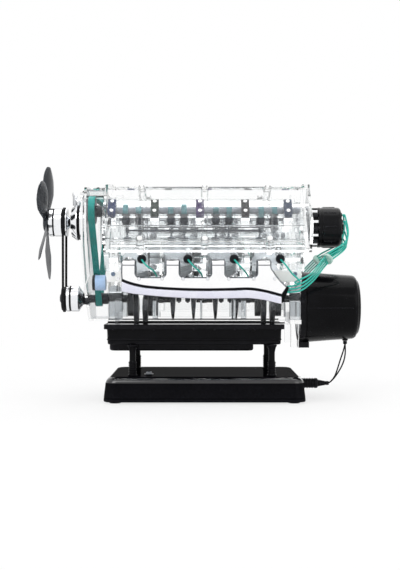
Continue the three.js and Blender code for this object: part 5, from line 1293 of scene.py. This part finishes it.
def pumpBody():
    p = pumpPlan
    back, front = p["back"], p["front"]
    middle = (front + back) / 2
    shape = Moulding()
    profile = [(back, 0), (back, 19), (back - 1.2, 19), (back - 1.6, 18.4), (back - 4, 18),
               (back - 4.4, 17.4), (back - 6.6, 17.4), (back - 7, 18), (back - 8.4, 17.8),
               (front + 1.2, 15.4), (front, 14.6), (front, 7), (front + 0.6, 6.4), (front + 0.6, 3.4)]
    shape.turn(profile, engineAt(0, 0, fanHeight), steps=72, tones=pumpTones)
    shape.turn([(0, 4.6), (20, 4.2), (22, 4.2), (23, 3.6), (23, 0)], engineAt(middle, 0, fanHeight),
               (0, 0, 1), steps=40)
    for side in (-1, 1):
        shape.turn(pumpNipple, engineAt(middle + side * p["nippleOut"], 0, fanHeight), (0, 0, 1), steps=32)
    shape.tone = 1
    for y, z in ringSpots(6, p["screwRing"], fanHeight):
        hexHead(shape, engineAt(front + 0.2, y, z), (-1, 0, 0), 1.3, 0.9)
    shape.finished("pumpBody", stand, ["brightChrome", "mouldedBlack"], ["water_pump"])


fanBlades()
fanPulleyChrome()
crankPulleyChrome()
pumpBody()
print("fan drive built")

# exhaust manifolds: a bright collector with a dark seam strip that is partly the mould seam and partly a
# painted reflection line, a pearl lip and four runners

exhaustPlan = {
    "front": 96, "back": 84, "top": 120, "runnerTop": 131.4, "runnerHalf": 6.7, "fillet": 3.4, "lipOut": 1.4,
    "seamHalf": 0.8, "flangeAcross": -32.3, "flangeAlong": (74, 86.5), "lipStart": -76, "lipLength": 146,
    "lipSteps": 60, "screwOut": 9.6, "screwHeight": 118.2,
    "runners": {"near": (-69.7, -29.4, 12.3, 54.3), "far": (-61.4, -19.2, 23, 65.2)},
}
lowEdge = [(-73.5, 106), (-66, 104.4), (-53.6, 103), (-30, 101), (-6.8, 100), (20, 100), (40.7, 100.2),
           (54, 98.6), (69, 95)]
seamLine = [(-76.4, 117), (-66, 113.6), (-53.6, 111), (-28, 109), (-0.4, 108.3), (22, 108.6), (42.3, 109),
            (56, 106.8), (70.6, 103)]
outletEdge = [(75.7, 110.4), (73, 113), (70, 116), (67.4, 119), (65.4, 121.6)]
outletLip = [(70.2, 95.6), (72.2, 97.4), (77, 110), (75.2, 111.6), (70.6, 103)]


# a curve through loose points, evenly smoothed
def softened(points):
    return [(p.x, p.z) for p in smoothPath([(x, 0, z) for x, z in points])]


def heightOn(line, x):
    for (x0, z0), (x1, z1) in zip(line, line[1:]):
        if x <= x1:
            return z0 + (z1 - z0) * (x - x0) / (x1 - x0)
    return line[-1][1]


def exhaustOutline(runners):
    e = exhaustPlan
    r, top, crest, half = e["fillet"], e["top"], e["runnerTop"], e["runnerHalf"]
    last = runners[-1] + half
    outline = [(-76.2, 117.4), *softened(seamLine)[2:], *outletEdge]
    outline += [(last + 2.6, 124.4), (last + 0.7, 127), (last, 129), (last, crest)]
    for right, left in zip(runners[:0:-1], runners[-2::-1]):
        start, stop = right - half, left + half
        outline += [(start, crest)] + arc((start - r, top + r), r, 0, -90, 6)
        outline += arc((stop + r, top + r), r, 270, 180, 6) + [(stop, crest)]
    return outline + [(runners[0] - half, crest), (-76.6, 124)]


def exhaustChrome(sideName, hand):
    e = exhaustPlan
    front, back, runners, seamHalf = e["front"], e["back"], e["runners"][sideName], e["seamHalf"]

    def faced(x, z, out):
        return at(x, -hand * out, z)

    shape = Moulding()
    shape.extrude(exhaustOutline(runners), faced, front - 0.2, back)
    for middle in runners:
        low, high = (bankAt(hand, 0, e["flangeAcross"], u) for u in e["flangeAlong"])
        path = [(-low.y / mm * hand, low.z / mm), (85, 118.4), (94.6, 118.4), (95.3, 121), (95.3, 131)]
        path += arc((91, 131), 4.3, 0, 62, 6)[1:] + [(-high.y / mm * hand, high.z / mm)]
        shape.loft([[faced(middle + side * e["runnerHalf"], z, y) for y, z in path] for side in (-1, 1)])
    # the bevelled edges take the darker edge chrome, a painted dark reflection along the outlines
    shape.finished(sideName + "ExhaustChrome", stand, ["pearlChrome", "edgeShadeChrome"],
                   [sideName + "_exhaust_manifold"], bevel=1.3, edgeTone=1)
    lip = Moulding()
    rings, seamAndReflectionRings = [], []
    seam, edge = softened(seamLine), softened(lowEdge)
    for i in range(e["lipSteps"] + 1):
        x = e["lipStart"] + e["lipLength"] * i / e["lipSteps"]
        dark = heightOn(seam, x)
        high, low = dark - seamHalf, heightOn(edge, x)
        middle, half = (high + low) / 2, (high - low) / 2
        bulge = arc((0, 0), 1, 90, -90, 8)
        rings.append([faced(x, middle + half * up, front - 1 + (e["lipOut"] + 0.8) * out)
                      for out, up in bulge]
                     + [faced(x, low + 0.3, back), faced(x, high - 0.3, back)])
        # the dark strip along the seam line: partly the mould seam, partly a painted reflection line
        seamAndReflectionRings.append([faced(x, dark + dz, front + out) for dz, out in
                      ((-seamHalf, -1), (-seamHalf, 0.15), (seamHalf, 0.15), (seamHalf, -1))])
    lip.loft(rings)
    lip.tone = 1
    lip.loft(seamAndReflectionRings)
    lip.loft([[faced(x, z, out) for x, z in outletLip] for out in (front + 0.3, back + 1)])
    lip.finished(sideName + "ExhaustLip", stand, ["lipChrome", "seamAndReflectionBlack"], bevel=0.2)
    lugs = Moulding()
    for middle in runners:
        for end in (-1, 1):
            headedScrew(lugs, faced(middle + end * e["screwOut"], e["screwHeight"], front - 0.4),
                        (0, -hand, 0), 1.5, 0.9)
    lugs.finished(sideName + "ExhaustScrews", stand, ["brightChrome"])


for sideName, hand in hands.items():
    exhaustChrome(sideName, hand)
print("exhaust built")

# the motor drum behind the block

drumPlan = {"axis": -8.5, "shoulder": 146, "end": 153, "gland": 140.6, "seam": ((101, 35), (145, 31.9)),
            "screwRing": 18.6, "foot": ((93.3, 103.7), (-10, 10)), "footDrop": (34.4, 40)}
drumSide = [(93.3, 33.2), (93.3, 35.2), (93.7, 35.5), (98.4, 35.3), (98.7, 34.9), (99.9, 34.8), (100.2, 35.1),
            (122, 33.4), (143, 31.95), (145.8, 31.7)]
drumInside = [(93.3, 33.2), (145.6, 29.4), (149, 26), (150.7, 24), (150.7, 0)]
drumGland = [(29.4, 3), (33, 2.9), (33.4, 2.4), (33.7, 2.4), (33.7, 2.1), (29.4, 2.1)]


def motorDrum():
    d = drumPlan
    axis, end = d["axis"], d["end"]
    shape = Moulding()
    profile = drumSide + shoulder(d["shoulder"], 4.6, 31.7, 3.4, 7)
    profile += [(end - 1.7, 27.6), (end - 0.5, 26.4), (end, 25), (end, 12), (end - 0.5, 11.4), (end - 0.5, 0)]
    shape.turn(profile, engineAt(0, 0, axis), steps=96)
    shape.turn(drumInside, engineAt(0, 0, axis))
    for y in (-1, 1):  # a mould seam down each side
        shape.loft([[engineAt(x, y * (radius + out), axis + rise) for out, rise in
                     ((-0.4, -0.5), (0.35, -0.3), (0.35, 0.3), (-0.4, 0.5))] for x, radius in d["seam"]])
    for y, z in ringSpots(4, d["screwRing"], axis):
        headedScrew(shape, engineAt(end - 0.1, y, z), (1, 0, 0), 2.2, 0.9)
    shape.box(engineAt, *d["foot"], [axis - drop for drop in d["footDrop"]])
    shape.turn(drumGland, engineAt(d["gland"], 0, axis), (0, 0, -1), steps=32)
    shape.finished("motorDrum", stand, ["drumBlack"], ["motor_housing"], bevel=0.2)


motorDrum()

# the distributor

distPlan = {"axis": 71, "ring": 13, "towers": 8, "posts": 16, "postRing": 17.4, "postSpan": (106.4, 112.2),
            "ribSpan": (118, 130), "ribFoot": 19.6, "ribTop": 20.5, "ribHalf": 0.8}
distDrum = [(103.6, 3.3), (103.6, 11.6), (104, 12), (105.8, 12), (106.2, 16.4), (106.6, 17), (111.9, 17),
            (112.4, 17.4), (112.4, 3.3)]
distShell = [(112.7, 17.6), (112.7, 19.6), (113.1, 20), (115.2, 20), (115.5, 19.7), (116.6, 19.7),
             (116.9, 20), (131.6, 19.9), *shoulder(131.6, 3.8, 19.9, 2.3, 6), (135.4, 16.2), (135.4, 0)]
distTower = [(134.8, 3.1), (135.9, 2.9), (136.4, 2.4), (136.8, 2.2), (136.8, 1.2), (136, 1.1), (136, 0)]
distMiddle = [(134.8, 4.7), (138, 4.5), (138.6, 3.9), (138.6, 1.8), (137.6, 1.6), (137.6, 0)]
towerSpots = ringSpots(distPlan["towers"], distPlan["ring"], distPlan["axis"])


def distributorDrum():
    d = distPlan
    shape = Moulding()
    shape.turn(distDrum, engineAt(0, 0, d["axis"]), steps=72)
    posts = ringSpots(d["posts"], d["postRing"], d["axis"], 0.25)
    for i, (y, z) in enumerate(posts):  # contact posts round the rim, black and bright by turns
        shape.tone = i % 2
        half = 1.9 if i % 2 == 0 else 1.4
        shape.loft([[engineAt(x, y + dy, z + dz) for dy, dz in roundedOutline(half, half, 0.6, 3)]
                    for x in d["postSpan"]])
    shape.finished("distributorDrum", stand, ["capBlack", "brightChrome"], ["distributor_body"], bevel=0.15)


def distributorCapShell():
    d = distPlan
    axis, foot, top, wide = d["axis"], d["ribFoot"], d["ribTop"], d["ribHalf"]
    shape = Moulding()
    shape.turn(distShell, engineAt(0, 0, axis), steps=80)
    shape.turn([(112.7, 17.6), (133, 17.6), (133, 0)], engineAt(0, 0, axis))
    for spot, a in zip(towerSpots, turns(d["towers"])):
        shape.turn(distTower, engineAt(0, *spot), steps=28)
        out = Vector((0, math.cos(a), math.sin(a)))
        side = Vector((0, -math.sin(a), math.cos(a))) * wide
        shape.loft([[engineAt(x, 0, axis) + (out * reach + side * share) * mm for reach, share in
                     ((foot, 1), (top, 0.6), (top, -0.6), (foot, -1))] for x in d["ribSpan"]])
    shape.turn(distMiddle, engineAt(0, 0, axis), steps=48)
    shape.finished("distributorCapShell", stand, ["capBlack"], ["distributor_cap"], bevel=0.15)


distributorDrum()
distributorCapShell()

# ignition leads, boots and ties

leadPlan = {"diameter": 1.6, "tie": (118, 42, 137), "spread": 2.9, "fan": 0.5, "plugAlong": 10.1,
            "inside": 42}
plugTip, plugMouth = (71.5, -8), (92, -37)
bootProfile = [(32.8, 2.4), (32.8, 3), (33.3, 3.4), (35.4, 3.4), (35.7, 3), (36.4, 3), (36.7, 3.9),
               (38.4, 4.2), (38.7, 3.8), (39.4, 3.8), (39.7, 4.2), (41.6, 3.9), (43, 2.6), (43, 0)]
plugProfile = [(0, 0), (0, 1), (1.4, 1.1), (1.6, 2.2), (8, 2.2), (8.4, 2.3), (20, 2.3), (33, 2.3), (33, 0)]
tieProfile = [(-1.5, 0), (-1.5, 5.3), (-1, 5.8), (1, 5.8), (1.5, 5.3), (1.5, 0)]


def plugSpot(hand, x, reach):
    along, across = plugMouth[0] - plugTip[0], plugMouth[1] - plugTip[1]
    length = math.hypot(along, across)
    return bankAt(hand, x + leadPlan["plugAlong"], plugTip[1] + across / length * reach,
                  plugTip[0] + along / length * reach)


def leadRoute(hand, index):
    y, z = towerSpots[5 - index if hand == 1 else (6 + index) % distPlan["towers"]]
    side, rise, out = -hand, leadPlan["spread"] * index, leadPlan["fan"] * index
    tieX, tieY, tieZ = leadPlan["tie"]
    inside = plugSpot(hand, throws[index], leadPlan["inside"])
    x = inside.x / mm - shiftX
    return [engineAt(136, y, z), engineAt(138.3 + out, y, z), at(138.2 + out, side * 22, 148 + rise),
            at(tieX, side * tieY, tieZ + rise - 4.35), at(100, side * 64, 114 + rise),
            at(84, side * 75, 106 + rise), at(x + 20, side * 75, 106 + rise), at(x + 12, side * 80, 123),
            at(x + 4, side * 104, 131), inside]


def leadSet(sideName, hand):
    shape = Moulding()
    routes = [leadRoute(hand, i) for i in range(4)]
    for route in routes:
        shape.wire(smoothPath(route, 8), leadPlan["diameter"] / 2, 12)
    for t in throws:
        base = plugSpot(hand, t, 0)
        axis = (plugSpot(hand, t, 10) - base).normalized()
        for tone, profile in ((1, bootProfile), (2, plugProfile)):
            shape.tone = tone
            shape.turn(profile, base, axis, steps=32)
    x, y, z = leadPlan["tie"]
    middle = at(x, -hand * y, z)
    shape.tone = 3
    shape.turn(tieProfile, middle, (routes[1][4] - middle).normalized(), steps=40)
    shape.finished(sideName + "LeadSet", stand, ["leadTeal", "bootRubber", "brightChrome", "tieGreen"],
                   [sideName + "_ignition_leads"])


for sideName, hand in hands.items():
    leadSet(sideName, hand)
print("ignition built")

# floor and light

stagePlan = {"rings": (0.4, 1.2, 3, 7), "tone": "f4f4f4", "rough": 0.9, "shine": 0.1, "clearNear": 0.15,
             "clearFar": 0.9, "glow": 0.7, "sky": 0.55, "aim": (0, 0, 0.12), "bounces": 32}
lamps = {"softKey": ((-0.9, -1.3, 1.4), 1.2, 14), "softFill": ((1.3, -1.1, 0.9), 1.4, 7),
         "softTop": ((0.1, 0.3, 1.7), 1.4, 10), "softBack": ((0.3, 1.5, 1.0), 1.4, 6)}


# what the camera sees: directly, in a shiny face or through a clear one
def seenRays(tree):
    rays = addNode(tree, "LightPath").outputs
    seen = mathNode(tree, "ADD", rays["Is Camera Ray"], rays["Is Glossy Ray"])
    return mathNode(tree, "ADD", seen, rays["Is Transmission Ray"], clamp=True)


def paleFloor():
    s = stagePlan
    rings = [[Vector((math.cos(a) * r, math.sin(a) * r, 0)) for a in turns(96)] for r in s["rings"]]
    shape = Moulding()
    shape.loft(rings, capped=False)
    shape.face([shape.point(place) for place in rings[0]])
    data = shape.asMesh("paleFloor", recalculated=False)
    material = bpy.data.materials.new("paleFloor")
    material.use_nodes = True
    tree = material.node_tree
    shader = tree.nodes["Principled BSDF"]
    shader.inputs["Base Color"].default_value = colour(s["tone"])
    shader.inputs["Roughness"].default_value = s["rough"]
    shader.inputs["Specular IOR Level"].default_value = s["shine"]
    spot = addNode(tree, "TexCoord")
    reach = addNode(tree, "VectorMath", {0: spot.outputs["Object"]}, operation="LENGTH")
    far = addNode(tree, "MapRange", {"Value": reach.outputs["Value"], "From Min": s["clearNear"],
                                     "From Max": s["clearFar"], "To Min": s["glow"]},
                  interpolation_type="SMOOTHSTEP")
    share = mathNode(tree, "MULTIPLY", far.outputs["Result"], seenRays(tree))
    glow = addNode(tree, "Emission", {"Color": (1, 1, 1, 1), "Strength": 1})
    mixed = addNode(tree, "MixShader", {0: share, 1: shader.outputs["BSDF"], 2: glow.outputs["Emission"]})
    tree.links.new(mixed.outputs["Shader"], tree.nodes["Material Output"].inputs["Surface"])
    data.materials.append(material)
    newObject("paleFloor", data)


def studioLight():
    world = bpy.data.worlds.new("studioSky")
    bpy.context.scene.world = world
    world.use_nodes = True
    tree = world.node_tree
    sky = tree.nodes["Background"]
    sky.inputs["Color"].default_value = (1, 1, 1, 1)
    tree.links.new(ranged(tree, seenRays(tree), 0, 1, toMin=stagePlan["sky"], toMax=1),
                   sky.inputs["Strength"])
    for name, (place, size, power) in lamps.items():
        lamp = bpy.data.lights.new(name, "AREA")
        lamp.size = size
        lamp.energy = power
        light = newObject(name, lamp)
        light.location = place
        light.rotation_euler = (Vector(stagePlan["aim"]) - Vector(place)).to_track_quat("-Z", "Y").to_euler()


paleFloor()
studioLight()
paths = bpy.context.scene.cycles  # a ray crosses many clear walls
paths.max_bounces = paths.transmission_bounces = paths.transparent_max_bounces = stagePlan["bounces"]
print("stage set")
